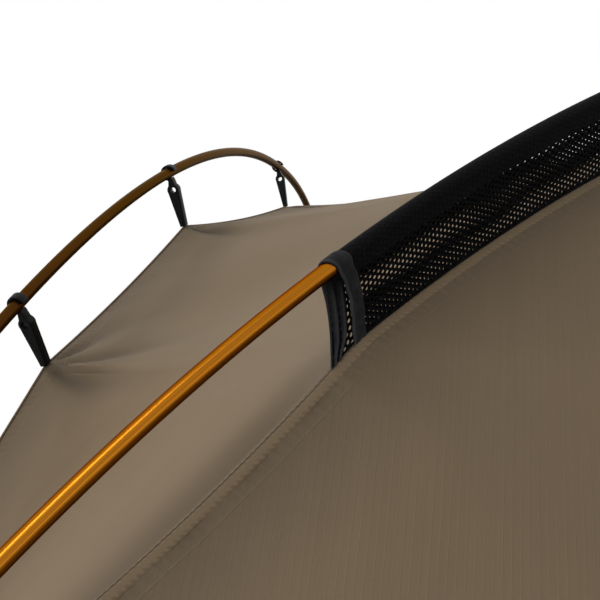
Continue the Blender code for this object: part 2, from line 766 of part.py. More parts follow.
def door_path(offset, start=0.0):
    """The zip's line round the door, moved outwards: along the sill, up the right side and over the arch."""
    corner = (DOOR_HALF_WIDTH - DOOR_CORNER, DOOR_SILL + DOOR_CORNER)
    path = [(start - DOOR_HALF_WIDTH, DOOR_SILL - offset)]
    path += arc(corner, DOOR_CORNER + offset, -math.pi / 2, 0, DOOR_CORNER_STEPS)
    end = math.pi - ZIP_END_TRIM / DOOR_HALF_WIDTH
    path += arc((0, DOOR_SPRING), DOOR_HALF_WIDTH + offset, 0, end, DOOR_ARCH_STEPS)
    return path


def make_front():
    """The front wall, its door and the zip between them."""
    to_tape = ZIP_SLIT / 2 + ZIP_HALF + FIT_GAP
    opening = [(-DOOR_HALF_WIDTH - HINGE_GAP, DOOR_SILL - to_tape), *door_path(to_tape)[1:]]
    opening += [(-DOOR_HALF_WIDTH - to_tape, DOOR_SPRING), (-DOOR_HALF_WIDTH - HINGE_GAP, DOOR_SPRING)]
    flat_body("front_wall", [wall_outline(), opening], -FABRIC, 0, FRONT_WALL, TAUPE)
    panel = [*door_path(-to_tape), (HINGE_GAP - DOOR_HALF_WIDTH, DOOR_SPRING)]
    panel[0] = (HINGE_GAP - DOOR_HALF_WIDTH, DOOR_SILL + to_tape)
    door = flat_body("door", [panel], -FABRIC, 0, FRONT_WALL, TAUPE)
    low = -(FABRIC + ZIP_THICKNESS) / 2
    near, far = ZIP_SLIT / 2, ZIP_SLIT / 2 + ZIP_HALF
    tape = [*door_path(near, ZIP_START), *reversed(door_path(far, ZIP_START))]
    flat_body("wall_zip_half", [tape], low, low + ZIP_THICKNESS, FRONT_WALL, BLACK_PLASTIC)
    tape = [*door_path(-near, ZIP_START), *reversed(door_path(-far, ZIP_START))]
    door_tape = flat_body("door_zip_half", [tape], low, low + ZIP_THICKNESS, FRONT_WALL, BLACK_PLASTIC)
    put_origin(door, FRONT_WALL @ Vector((-DOOR_HALF_WIDTH, DOOR_SILL, 0)))
    put_origin(door_tape, door.location)
    carry(door_tape, door)
    for label, turn, height in (
        ("upper", UPPER_SLIDER_ANGLE, DOOR_SPRING),
        ("lower", 0.0, DOOR_SPRING - LOWER_SLIDER_DROP),
    ):
        place = (DOOR_HALF_WIDTH * math.cos(turn), height + DOOR_HALF_WIDTH * math.sin(turn), 0)
        across, along = (math.cos(turn), math.sin(turn), 0), (-math.sin(turn), math.cos(turn), 0)
        slider, pull = make_slider(label, FRONT_WALL @ frame_of(place, across, along))
        pivot = (0, DOOR_SPRING, 0) if label == "upper" else place
        put_origin(slider, FRONT_WALL @ Vector(pivot))
        carry(slider, door)
        bpy.context.view_layer.update()
        pull.parent = slider
        pull.matrix_parent_inverse = slider.matrix_world.inverted()


def box_outline(low, high):
    return [(low[0], low[1]), (high[0], low[1]), (high[0], high[1]), (low[0], high[1])]


def make_slider(label, frame):
    """A zip slider in its own frame, X across the zip and Y along it, with its hinged pull."""
    top = (ZIP_THICKNESS - FABRIC) / 2 + FIT_GAP
    bottom = -(ZIP_THICKNESS + FABRIC) / 2 - FIT_GAP
    half, post = SLIDER_WIDTH / 2, SLIDER_POST / 2
    section = [
        (-half, top + SLIDER_PLATE),
        (-half, top),
        (-post, top),
        (-post, bottom),
        (-half, bottom),
        (-half, bottom - SLIDER_PLATE),
        (post, bottom - SLIDER_PLATE),
        (post, top),
        (half, top),
        (half, top + SLIDER_PLATE),
    ]
    upright = Matrix.Rotation(math.pi / 2, 4, "X")
    reach = SLIDER_LENGTH / 2
    slider = flat_body(f"zip_slider_{label}", [section], -reach, reach, upright, STEEL)
    pin_height = top + SLIDER_PLATE + PULL_EYE_RADIUS + FIT_GAP
    inner = PULL_WIDTH / 2 + FIT_GAP
    ear = box_outline((-PULL_EYE_RADIUS, top + SLIDER_PLATE / 2), (PULL_EYE_RADIUS, pin_height + EAR_RISE))
    sideways = frame_of((0, 0, 0), (0, 1, 0), (0, 0, 1))
    helpers = []
    for sign in (-1, 1):
        low, high = sorted((sign * inner, sign * (inner + EAR_THICKNESS)))
        helpers.append(flat_body(f"ear_{label}_{sign + 1}", [ear], low, high, sideways, STEEL))
    pin = arc((0, pin_height), PULL_PIN_RADIUS, 0, 2 * math.pi, 8)[:-1]
    ends = inner + EAR_THICKNESS / 2
    helpers.append(flat_body(f"pin_{label}", [pin], -ends, ends, sideways, STEEL))
    unite(slider, helpers, frame)
    neck = math.asin(PULL_THICKNESS / 2 / PULL_EYE_RADIUS)
    eye = arc((0, pin_height), PULL_EYE_RADIUS, neck - math.pi, math.pi - neck, 12)
    tab = [(-PULL_LENGTH, pin_height + PULL_THICKNESS / 2), (-PULL_LENGTH, pin_height - PULL_THICKNESS / 2)]
    bore = arc((0, pin_height), PULL_BORE_RADIUS, 0, 2 * math.pi, 10)[:-1]
    half = PULL_WIDTH / 2
    pull = flat_body(f"zip_pull_{label}", [[*eye, *tab], bore], -half, half, frame @ sideways, BLACK_PLASTIC)
    put_origin(pull, frame @ Vector((0, 0, pin_height)))
    return slider, pull


def rounded_box(half_width, low, high, radius, grow):
    """A rounded rectangle about the middle line, grown on every side."""
    right, bottom, top = half_width - radius, low + radius, high - radius
    corners = ((right, bottom, -0.5), (right, top, 0), (-right, top, 0.5), (-right, bottom, 1))
    outline = []
    for u, v, quarter_turns in corners:
        start = quarter_turns * math.pi
        outline += arc((u, v), radius + grow, start, start + math.pi / 2, 4)
    return outline


def make_rear():
    """The rear wall, its mesh window and the storm flap that hangs over it."""
    sizes = (WINDOW_HALF_WIDTH, WINDOW_SILL, WINDOW_SILL + WINDOW_HEIGHT, WINDOW_CORNER)
    flat_body("rear_wall", [wall_outline(), rounded_box(*sizes, 0)], -FABRIC, 0, REAR_WALL, TAUPE)
    net = rounded_box(*sizes, -FIT_GAP)
    flat_body("window_mesh", [net], -(FABRIC + NET) / 2, (NET - FABRIC) / 2, REAR_WALL, BLACK_MESH)
    low, high = COVER_GAP, COVER_GAP + FABRIC
    flap = flat_body("window_flap", [rounded_box(*sizes, COVER_OVERLAP)], low, high, REAR_WALL, TAUPE)
    hinge = Vector((0, WINDOW_SILL + WINDOW_HEIGHT + COVER_OVERLAP, high))
    put_origin(flap, REAR_WALL @ hinge)


def make_crown_patch():
    half = CROWN_PATCH_HALF
    level = SEAM.at(RIDGE_MIDDLE)[2] + CROWN_PATCH_GAP
    patch = box_outline((-half, -half), (half, half))
    flat_body("crown_patch", [patch], level, level + FABRIC, Matrix(), DARK_TAUPE)


def make_corner_tabs():
    """A webbing tab at each corner, with an eyelet for each pole and a loop for a stake."""
    ridge, hoop = SEAM.at(0), HOOP_SEAM.at(0)
    foot_x, ridge_y, hoop_y = RIDGE_FOOT_X, -RIDGE_FOOT_Y, -RIDGE_FOOT_Y - HOOP_FORWARD
    half, gap = TAB_HALF_WIDTH, FIT_GAP + WEB_GAP / 2
    outline = [
        (foot_x + half, ridge_y + half),
        (ridge[0] + gap, ridge_y + half),
        (ridge[0] + gap, ridge[1]),
        (hoop[0] + gap, hoop[1]),
        (foot_x - half, hoop_y - half),
        (foot_x - half, hoop_y - TAB_REACH),
        (foot_x + half, hoop_y - TAB_REACH),
    ]
    slant = TAB_THICKNESS / 2 * math.tan(HOOP_TILT)
    eyelets = (
        (ridge_y, TIP_PIN_RADIUS + FIT_GAP),
        (hoop_y + slant, TIP_PIN_RADIUS / math.cos(HOOP_TILT) + slant + FIT_GAP),
    )
    holes = [arc((foot_x, y), radius, 0, 2 * math.pi, 10)[:-1] for y, radius in eyelets]
    holes.append(arc((foot_x, hoop_y - STAKE_HOLE_REACH), STAKE_HOLE_RADIUS, 0, 2 * math.pi, 14)[:-1])
    for name, side, end in (
        ("front_right", 1, 1),
        ("front_left", -1, 1),
        ("rear_right", 1, -1),
        ("rear_left", -1, -1),
    ):
        shapes = [[(side * x, end * y) for x, y in shape] for shape in (outline, *holes)]
        flat_body(f"corner_tab_{name}", shapes, 0, TAB_THICKNESS, Matrix(), BINDING_TAPE)


def clip_outline(reach, steps):
    """A clip seen along its pole: a hook with its mouth on one side, an eye below and a tapered stem."""
    inner = POLE_RADIUS + CLIP_CLEARANCE
    outer = inner + CLIP_WALL
    hook = arc((0, 0), outer, CLIP_NECK, 2 * math.pi + CLIP_MOUTH_END, steps)
    throat = arc((0, 0), inner, 2 * math.pi + CLIP_MOUTH_END, CLIP_MOUTH_START, steps + 2)
    eye_left = arc((CLIP_EYE_REACH, 0), CLIP_EYE_RADIUS, -CLIP_EYE_TO_HOOK, -CLIP_EYE_FROM_STEM, 2)
    eye_right = arc((CLIP_EYE_REACH, 0), CLIP_EYE_RADIUS, CLIP_EYE_FROM_STEM, CLIP_EYE_TO_HOOK, 2)
    tip = [(reach, -CLIP_TIP_HALF_WIDTH), (reach, CLIP_TIP_HALF_WIDTH)]
    eye = arc((CLIP_EYE_REACH, 0), CLIP_HOLE_RADIUS, 0, 2 * math.pi, 8)[:-1]
    lip = [(outer * math.cos(CLIP_MOUTH_START), outer * math.sin(CLIP_MOUTH_START))]
    return [[*hook, *throat, *lip, *eye_left, *tip, *eye_right], eye]


def clip_body(name, pole, seam, along, tip_gap, turn, steps):
    """A clip from a place on a pole to the fabric ridge, turned to its own end of the tent."""
    to_seam = seam - pole
    down = unit(to_seam - np.dot(to_seam, along) * along)
    reach = float(np.linalg.norm(to_seam)) - tip_gap
    frame = turn @ frame_of(pole, down, np.cross(along, down))
    half = CLIP_WIDTH / 2
    return flat_body(name, clip_outline(reach, steps), -half, half, frame, BLACK_PLASTIC)


def make_front_clips():
    for name, s in zip(FRONT_CLIP_NAMES, FRONT_CLIP_STATIONS):
        pole = HOOP.at(s)
        clip = clip_body(name, pole, HOOP_SEAM.at(s), HOOP.tangent(s), CLIP_TIP_GAP, Matrix(), CLIP_STEPS)
        put_origin(clip, pole)


def panel_normal(tangent, into_panel, outward):
    normal = unit(np.cross(tangent, into_panel))
    return normal * math.copysign(1, np.dot(normal, outward))


def hoop_outward(s):
    """The direction midway between the front wall's normal and the roof's, at the hoop's fabric ridge."""
    near = min(s, HOOP.length - s)
    place = HOOP_SEAM.at(near)
    back = SEAM.at(float(np.interp(near, HOOP_STATIONS, RIDGE_STATIONS)))
    roof = panel_normal(HOOP.tangent(near), back - place, -HOOP.inward(near))
    outward = unit(roof + np.array(FRONT_WALL.col[2][:3]))
    return outward if s == near else mirrored(outward)


def ridge_outward(s):
    """The direction midway between the side wall's normal and the roof's, at the right front ridge."""
    tangent, outward = RIDGE_LINE.tangent(s), -RIDGE_LINE.inward(s)
    ahead = HOOP_SEAM.at(float(np.interp(s, RIDGE_STATIONS, HOOP_STATIONS))) - SEAM.at(s)
    return unit(panel_normal(tangent, ahead, outward) + panel_normal(tangent, (0, 1, 0), outward))


def clip_row(name, arch, seam_at, outward_at, stations, clips, turn):
    """Clips sewn to one strip that lies along a fabric ridge."""
    rings = []
    half = CLIP_ROW_TAPE_WIDTH / 2
    for s in stations:
        place, outward = seam_at(s), outward_at(s)
        width = unit(np.cross(outward, arch.tangent(s)))
        low, high = place + TAPE_GAP * outward, place + (TAPE_GAP + CLIP_ROW_TAPE_THICKNESS) * outward
        corners = (low - half * width, low + half * width, high + half * width, high - half * width)
        rings.append([np.array(turn @ Vector(p)) for p in corners])
    strip = ring_body(name, rings, BLACK_PLASTIC)
    bodies = []
    for k, s in enumerate(clips):
        pole, seam = arch.at(s), seam_at(s)
        upright = float(np.dot(unit(pole - seam), outward_at(s)))
        lean = math.sqrt(1 - upright**2)
        tip_gap = (TAPE_GAP + CLIP_TIP_HALF_WIDTH * lean) / upright
        body = clip_body(f"{name}_clip_{k}", pole, seam, arch.tangent(s), tip_gap, turn, ROW_CLIP_STEPS)
        bodies.append(body)
    unite(strip, bodies)


def row_stations(stations, clips):
    inside = [s for s in stations if clips[0] + FIT_GAP < s < clips[-1] - FIT_GAP]
    return [clips[0] - CLIP_ROW_END, clips[0], *inside, clips[-1], clips[-1] + CLIP_ROW_END]


def make_clip_rows():
    """The clips that share a strip: the rear hoop's, the front hoop's lower ones and the ridge poles'."""
    half_turn = Matrix.Rotation(math.pi, 4, "Z")
    anchors = HOOP_ANCHORS[1:-1]
    for name, clips, turn in (
        ("rear_hoop_clips", anchors, half_turn),
        ("front_hoop_clips_right", anchors[:2], Matrix()),
        ("front_hoop_clips_left", anchors[-2:], Matrix()),
    ):
        stations = row_stations(both_halves(HOOP_STATIONS, HOOP.length), clips)
        clip_row(name, HOOP, HOOP_SEAM.at, hoop_outward, stations, clips, turn)
    for corner, pole_name, side, turn in (
        ("front_right", "ridge_pole_a", 1, Matrix()),
        ("rear_left", "ridge_pole_a", 1, half_turn),
        ("front_left", "ridge_pole_b", -1, Matrix()),
        ("rear_right", "ridge_pole_b", -1, half_turn),
    ):
        arch = POLES[pole_name]
        stretch = arch.length / RIDGE_LINE.length
        clips = [s * stretch for s in LEG_CLIPS]
        stations = row_stations([s * stretch for s in RIDGE_STATIONS], clips)

        def seam_at(s):
            return ridge_below(arch, s)

        def outward_at(s):
            return quarter(ridge_outward(s / stretch), side, -1)

        clip_row(f"leg_clips_{corner}", arch, seam_at, outward_at, stations, clips, turn)


clear_scene()
make_poles()
make_sleeves(POLES["ridge_pole_a"], ("front_right", "rear_left"))
make_sleeves(POLES["ridge_pole_b"], ("front_left", "rear_right"))
make_groundsheet()
make_side_wall("right_wall", 1)
make_side_wall("left_wall", -1)
make_roof_panel("front_roof", -1)
make_roof_panel("rear_roof", 1)
make_front()
make_rear()
make_crown_patch()
make_corner_tabs()
make_front_clips()
make_clip_rows()
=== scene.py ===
"""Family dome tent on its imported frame, pictured close at its front right shoulder.

Metres, +Z up. The door faces -Y, and "right" is the +X side.
"""

import math

import bmesh
import bpy
import numpy as np
from mathutils import Matrix, Vector


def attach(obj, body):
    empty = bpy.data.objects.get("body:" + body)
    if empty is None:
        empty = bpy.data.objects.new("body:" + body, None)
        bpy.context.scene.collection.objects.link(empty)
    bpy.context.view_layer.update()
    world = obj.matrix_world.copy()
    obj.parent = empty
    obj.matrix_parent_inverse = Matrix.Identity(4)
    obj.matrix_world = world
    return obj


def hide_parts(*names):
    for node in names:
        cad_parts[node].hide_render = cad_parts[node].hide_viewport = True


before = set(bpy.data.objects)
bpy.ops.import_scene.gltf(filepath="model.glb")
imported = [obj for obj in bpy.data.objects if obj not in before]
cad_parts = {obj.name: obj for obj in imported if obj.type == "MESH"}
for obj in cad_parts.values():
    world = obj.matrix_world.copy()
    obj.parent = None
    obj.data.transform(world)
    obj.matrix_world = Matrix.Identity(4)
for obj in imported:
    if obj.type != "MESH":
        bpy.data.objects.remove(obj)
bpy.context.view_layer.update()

# Camera, fitted to the photograph
CAMERA_PLACE = (1.6402, -0.7731, 1.5200)
CAMERA_YAW = 3.3110
CAMERA_PITCH = 0.0394
CAMERA_ROLL = 0.0104
CAMERA_FOCUS = 1321.7
IMAGE_SIDE = 600
SENSOR = 36.0

# Poles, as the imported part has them
POLE_RADIUS = 0.00475
FERRULE_RADIUS = 0.0038
FERRULE_LENGTH = 0.07
FIT_GAP = 0.0003
POLE_SIDES = 28
POLE_STEP = 0.016
POLE_EDGE = 0.0004
RIDGE_FOOT_X = 1.475
RIDGE_FOOT_Y = 1.36
RIDGE_HEIGHT = 1.856
RIDGE_SQUARENESS = 2.42
CROSSING_RISE = 0.0062
HOOP_FORWARD = 0.16
HOOP_LEAN = 0.436
HOOP_HEIGHT = 1.755
HOOP_SQUARENESS = 2.12
HOOP_TILT = math.atan2(HOOP_LEAN, HOOP_HEIGHT)
TANGENT_REACH = 0.004

# Fabric ridges below the poles
RIDGE_DROP = 0.038
HOOP_DROP = 0.0525
HOOP_DROP_TILT = math.radians(25.7)
CHORD_SAG = 0.005
LEG_SHARE = 0.35

# Clips
LEG_CLIPS = (0.35, 0.75, 1.15, 1.55)
HOOP_CLIPS = (0.46, 0.775, 1.30, 1.90)
CLIP_WIDTH = 0.008
CLIP_CLEARANCE = 0.0003
CLIP_WALL = 0.0022
CLIP_MOUTH_START = math.radians(-20)
CLIP_MOUTH_END = math.radians(-98)
CLIP_NECK = math.radians(16)
CLIP_EYE_REACH = 0.0165
CLIP_EYE_RADIUS = 0.0055
CLIP_EYE_TURNS = (1.25, 2.5)
CLIP_HOLE_RADIUS = 0.0028
CLIP_TIP_HALF_WIDTH = 0.0026
CLIP_TIP_GAP = 0.0006
CLIP_BEVEL = 0.0006
CLIP_STEPS = 26

# Mesh sleeves and the tape round their mouths
SLEEVE_MOUTH = 1.80
SLEEVE_TOP_GAP = 0.10
SLEEVE_EASE = 0.0003
SLEEVE_THICKNESS = 0.0004
SLEEVE_STEP = 0.006
WEB_HALF_WIDTH = 0.0009
WEB_COLUMNS = 14
TOP_COLUMNS = 20
WEB_GAP = 0.0005
SLEEVE_HALF_GIRTH = 0.0470
FAR_LAYER_LEAN = 0.025
NEAR_LAYER_LEAN = 0.005
NEAR_LAYER_BULGE = 0.006
SLEEVE_SLACK = 0.0007
TAPE_WIDTH = 0.0105
TAPE_COLUMNS = 97
TAPE_ROWS = 15
TAPE_PROUD = 0.0007
TAPE_GROOVE = 0.0004
TAPE_PLEAT = 0.0010

# Fabric panels, with FABRIC as their thickness
FABRIC = 0.0009
TUB_HEIGHT = 0.12
SEAM_GAP = 0.0003
WALL_INSET = 0.0022
WALL_FOOT_GAP = 0.0008
SIDE_SAG = 0.035
SIDE_SAG_SKEW = 0.8
ROOF_SAG = 0.022
CROWN_CUT = 0.04
CROWN_PATCH_HALF = 0.06
CROWN_PATCH_THICKNESS = 0.0012
PANEL_ROWS = 250
PANEL_COLUMNS = 50
CLIP_ROWS = 22
CLIP_ROWS_REACH = 0.045
CLOSEST_ROWS = 0.0012

# Slack in the cloth, as waves, each with its height, its turn per metre across and up, and its start
SLACK_WAVES = (
    (1.0, 7.1, 4.3, 0.7),
    (0.7, -11.9, 6.7, 2.1),
    (0.45, 19.0, 15.0, 0.0),
    (0.3, 31.0, -9.0, 1.3),
)
SIDE_WALL_SLACK = 0.0035
ROOF_SLACK = 0.0032
END_WALL_SLACK = 0.003
FLAP_SLACK = 0.0004
SLACK_REACH = 0.15
END_SLACK_REACH = 0.14
SCALLOP_DEPTH = 0.0007
SCALLOP_PITCH = 0.052
SCALLOP_REACH = 0.035

# Folds where the hoop's clips pull, each with its angle, width and height
CLIP_FOLDS = ((-52, 14, 0.7), (-22, 11, -1.0), (8, 11, 0.8), (38, 13, -0.8), (66, 14, 0.5))
FOLD_RISE = 0.2
FOLD_DEPTH = 0.0042
FOLD_REACH = 0.024
FOLD_BACKWARD = 0.9
FOLD_SHADE_DEPTH = 0.0028

# The valley beside the roof's ridge seam, which drifts from it and widens below the sleeve's mouth
VALLEY_DEPTH = 0.008
VALLEY_CENTRE = 0.022
VALLEY_DRIFT = 0.09
VALLEY_WIDTH = 0.017
VALLEY_WIDENING = 0.06
# VALLEY_SHADE is the share of the valley's painted shade kept between the seam and the valley's floor.
VALLEY_SHADE = 0.75

# Seams, with a stitch's half sizes along it, across it and up
STITCH_PITCH = 0.0042
STITCH = (0.00125, 0.00036, 0.00026)
SEAM_STITCH = (0.00095, 0.00030, 0.00020)
BEAD_SEGMENTS = 5
BEAD_RINGS = 4
STRIP_EDGE = 0.0068
STRIP_SECTION = (
    (0.0004, 0.0002),
    (0.0010, 0.0005),
    (0.0022, 0.0006),
    (0.0038, 0.0007),
    (0.0054, 0.0006),
    (0.0064, 0.0004),
    (STRIP_EDGE, 0.0001),
    (STRIP_EDGE, -0.0004),
    (0.0004, -0.0004),
)
STRIP_STITCH_ROWS = (0.0012, STRIP_EDGE - 0.0011)
STRIP_STITCH_LIFT = 0.00030
STRIP_STEP = 0.006
PIPING_RADIUS = 0.0009
PIPING_SIDES = 10
PIPING_STEP = 0.008
ROW_TAPE_HALF_WIDTH = 0.004
ROW_TAPE_LOW = 0.0005
ROW_TAPE_HIGH = 0.0017
ROW_TAPE_RIB = 0.0003
ROW_TAPE_END = 0.006
ROW_TAPE_STEP = 0.009

# Door and window, in the planes of their walls
DOOR_HALF_WIDTH = 0.40
DOOR_SILL = 0.20
DOOR_SPRING = 0.98
DOOR_CORNER = 0.07
ZIP_HALF = 0.0040
ZIP_SLIT = 0.0016
ZIP_END_GAP = 0.0006
ZIP_TAPE_HEIGHTS = (-0.0012, -0.0002)
TOOTH_PITCH = 0.0021
TOOTH = (0.00072, 0.0012, 0.00075)
HEM_MARGIN = 0.0045
WINDOW_HALF_WIDTH = 0.34
WINDOW_SILL = 0.72
WINDOW_HEIGHT = 0.36
WINDOW_CORNER = 0.06
COVER_OVERLAP = 0.03
FLAP_HEM_WIDTH = 0.014
FLAP_HEM_HEIGHTS = (0.0014, 0.0033)

# Pole tips and corner tabs
TIP_PIN_RADIUS = 0.0026
TIP_COLLAR_RADIUS = 0.0064
TIP_COLLAR_TOP = 0.018
TIP_PLUG_RADIUS = 0.0036
TIP_PLUG_LENGTH = 0.022
TIP_GROUND_GAP = 0.0005
TAB_THICKNESS = 0.0024
TAB_HALF_WIDTH = 0.022
TAB_REACH = 0.085
STAKE_EYE_PLACE = 0.055
STAKE_EYE_RADIUS = 0.011
EYELET_RIM = 0.0028

# Groundsheet
FLOOR_LEVEL = 0.0012
FLOOR_CREASE = 0.0012
FLOOR_RIPPLE = 0.0011
TUB_PLEAT = 0.0010
FLOOR_RINGS = 40
TUB_RINGS = 9

# Pitches of weaves, knits and puckers
WEAVE_PITCH = 0.0007
RIPSTOP_CHECK = 0.0042
SEAM_PUCKER = 0.0075
SEAM_LINE = 0.0145
TWILL_PITCH = 0.0008
LOOP_LENGTH = 0.0011
LOOP_WIDTH = 0.0009
NET_PITCH = 0.0026

# Shades, as linear red, green and blue, with the tints of the tubes' edges
ORANGE_DEEP = (0.250, 0.082, 0.004)
ORANGE_BRIGHT = (0.440, 0.160, 0.012)
# Painted shade: the hoops' finish is the orange anodised one made much darker and browner, for the less lit
# hoops.
SHADED_ORANGE_DEEP = (0.026, 0.010, 0.003)
SHADED_ORANGE_BRIGHT = (0.100, 0.038, 0.007)
SHADED_ORANGE_EDGE = (0.66, 0.57, 0.47)
ORANGE_EDGE = (0.20, 0.13, 0.08)
PLASTIC_DEEP = (0.0024, 0.0024, 0.0028)
PLASTIC_WORN = (0.0048, 0.0048, 0.0052)
KNIT_DEEP = (0.0008, 0.0007, 0.0008)
KNIT_PALE = (0.0120, 0.0112, 0.0116)
TAPE_DEEP = (0.0035, 0.0038, 0.0045)
TAPE_PALE = (0.040, 0.041, 0.045)
TAUPE_DEEP = (0.188, 0.133, 0.077)
TAUPE_PALE = (0.252, 0.182, 0.108)
# TAUPE_SHADED is painted shade: the darker taupe that the cloth takes on beside its seams and in the roof's
# valley and folds, and the deep colour of the roof-side seam strips.
TAUPE_SHADED = (0.118, 0.086, 0.053)
FLOOR_DEEP = (0.060, 0.050, 0.038)
FLOOR_PALE = (0.095, 0.080, 0.062)
THREAD_PALE = (0.290, 0.218, 0.138)
STEEL_DEEP = (0.30, 0.30, 0.31)
STEEL_PALE = (0.46, 0.46, 0.47)

# Holes in the sleeve's mesh, with the steps from hole to hole along the pole and down from it
FIRST_STEP = (0.00278, 0.00160)
SECOND_STEP = (-0.00117, 0.00302)
HOLE_AXIS = (0.958, -0.287)
HOLE_HALF_LENGTH = 0.00132
HOLE_HALF_WIDTH = 0.00072
HOLES_END = 0.0335

# How the far layer of mesh is stretched, slanted and shifted against the near one
FAR_LAYER_SCALE = 0.92
FAR_LAYER_SLANT = -0.15
FAR_LAYER_SHIFT = 0.0006

# Studio
WORLD_FILL = 0.34
KEY_PLACE = (-0.6, -4.4, 5.0)
KEY_AIM = (0.5, -0.7, 1.3)
KEY_SIZE = 1.5
KEY_POWER = 111.0
FILL_PLACE = (4.8, -3.0, 1.4)
FILL_AIM = (1.1, -0.3, 1.2)
FILL_SIZE = 2.4
FILL_POWER = 69.0
SHOULDER = (1.1, -0.98, 1.45)
STREAK_ENDS = ((2.85, -2.35, 2.80), (1.70, -1.15, 3.98))
STREAK_WIDTH = 0.40
STREAK_POWER = 28.0
GLINT_ENDS = ((3.95, 1.8, 1.3), (2.1, 2.8, 2.56))
GLINT_WIDTH = 0.12
GLINT_POWER = 5.5
STUDIO_FLOOR_SHADE = (0.86, 0.86, 0.86)
STUDIO_FLOOR_ROUGHNESS = 0.85
STUDIO_FLOOR_HALF = 30.0
STUDIO_FLOOR_FADE = (3.6, 7.0)


class Wire:
    """One output of a node. Sums and products of it become Math nodes in its graph."""

    def __init__(self, graph, socket):
        self.graph = graph
        self.socket = socket

    def maths(self, operation, *values):
        return self.graph.add("ShaderNodeMath", {"operation": operation}, dict(enumerate(values)))

    def output(self, name):
        return Wire(self.graph, self.socket.node.outputs[name])

    def __add__(self, other):
        return self.maths("ADD", self, other)

    __radd__ = __add__

    def __sub__(self, other):
        return self.maths("SUBTRACT", self, other)

    def __rsub__(self, other):
        return self.maths("SUBTRACT", other, self)

    def __mul__(self, other):
        return self.maths("MULTIPLY", self, other)

    __rmul__ = __mul__

    def __pow__(self, other):
        return self.maths("POWER", self, other)

    def __abs__(self):
        return self.maths("ABSOLUTE", self)

    def fraction(self):
        return self.maths("FRACT", self)

    def wave(self, pitch, wander=None):
        """A sine that repeats at each pitch, and wanders with another value."""
        turn = self * (2 * math.pi / pitch)
        if wander is not None:
            turn = turn + wander
        return self.maths("SINE", turn)

    def from_middle(self, pitch):
        """How far it is from the middle of its step, as a share of the pitch."""
        return abs((self * (1 / pitch)).fraction() - 0.5)

    def rise(self, low, high):
        """0 at one level and 1 at the other, with a soft step between them."""
        steps = {"Value": self, "From Min": low, "From Max": high}
        return self.graph.add("ShaderNodeMapRange", {"interpolation_type": "SMOOTHSTEP"}, steps)


class Graph:
    """A node tree, filled by add() with a node's type, its settings and its sockets' values or links."""

    def __init__(self, tree):
        self.tree = tree

    def put(self, socket, value):
        if isinstance(value, Wire):
            self.tree.links.new(value.socket, socket)
        elif socket.type == "RGBA":
            socket.default_value = (*value, 1)
        else:
            socket.default_value = value

    def add(self, kind, settings=None, sockets=None, output=0):
        node = self.tree.nodes.new(kind)
        for name, value in (settings or {}).items():
            setattr(node, name, value)
        for key, value in (sockets or {}).items():
            self.put(node.inputs[key], value)
        return Wire(self, node.outputs[output]) if node.outputs else None


class Finish(Graph):
    """A material: one Principled shader, its constants, and what varies over the surface."""

    def __init__(self, name, slot, constants):
        self.material = bpy.data.materials.new(name)
        self.material.use_nodes = True
        self.slot = slot
        super().__init__(self.material.node_tree)
        self.shader = self.tree.nodes["Principled BSDF"]
        for key, value in constants.items():
            self.feed(key, value)

    def feed(self, key, value):
        self.put(self.shader.inputs[key], value)

    def place(self):
        return self.add("ShaderNodeTexCoord", output="Object")

    def cloth(self):
        """The two distances over the piece, in metres, from its UV map."""
        split = self.add("ShaderNodeSeparateXYZ", {}, {0: self.add("ShaderNodeUVMap")})
        return split, split.output("Y")

    def mark(self, name):
        return self.add("ShaderNodeAttribute", {"attribute_name": name}, output="Fac")

    def spread(self, x, y, z=0.0):
        return self.add("ShaderNodeCombineXYZ", {}, {"X": x, "Y": y, "Z": z})

    def noise(self, vector, scale, detail=2.0, roughness=0.5):
        sockets = {"Vector": vector, "Scale": scale, "Detail": detail, "Roughness": roughness}
        return self.add("ShaderNodeTexNoise", {}, sockets)

    def mix(self, share, first, second):
        return self.add("ShaderNodeMix", {"data_type": "RGBA"}, {0: share, 6: first, 7: second}, 2)

    def relief(self, height, depth):
        """Height in shares of depth, in metres."""
        sockets = {"Height": height, "Distance": depth, "Strength": 1.0}
        self.feed("Normal", self.add("ShaderNodeBump", {}, sockets))


def anodised(name, deep, bright, roughness, edge):
    """Drawn tube: streaks along it, a few long scuffs, and clouds in the dye."""
    finish = Finish(name, "anodised_aluminium", {"Metallic": 1.0, "Specular Tint": edge})
    u, v = finish.cloth()
    drawn = finish.noise(finish.spread(u * 1500, v * 7), 1.0, 3.0)
    fine = finish.noise(finish.spread(u * 4200, v * 26), 1.0, 2.0)
    scuff = finish.noise(finish.spread(u * 900, v * 3.5, 4.0), 1.0, 1.0).rise(0.66, 0.74)
    cloud = finish.noise(finish.place(), 9.0)
    share = drawn * 0.55 + fine * 0.30 + cloud * 0.30 + scuff * 0.25 - 0.10
    finish.feed("Base Color", finish.mix(share, deep, bright))
    finish.feed("Roughness", roughness + drawn * 0.10 + fine * 0.05)
    finish.relief(drawn * 0.7 + fine * 0.3, depth=0.00003)
    return finish


def moulded(name, deep, worn):
    """Moulded nylon: fine spark texture and paler rubbed patches."""
    finish = Finish(name, "black_plastic", {"Specular IOR Level": 0.12})
    place = finish.place()
    grain = finish.noise(place, 2600.0, 2.0)
    rubbed = finish.noise(place, 170.0, 3.0).rise(0.45, 0.80)
    finish.feed("Base Color", finish.mix(rubbed, deep, worn))
    finish.feed("Roughness", 0.36 + grain * 0.16 - rubbed * 0.06)
    finish.relief(grain, depth=0.00006)
    return finish


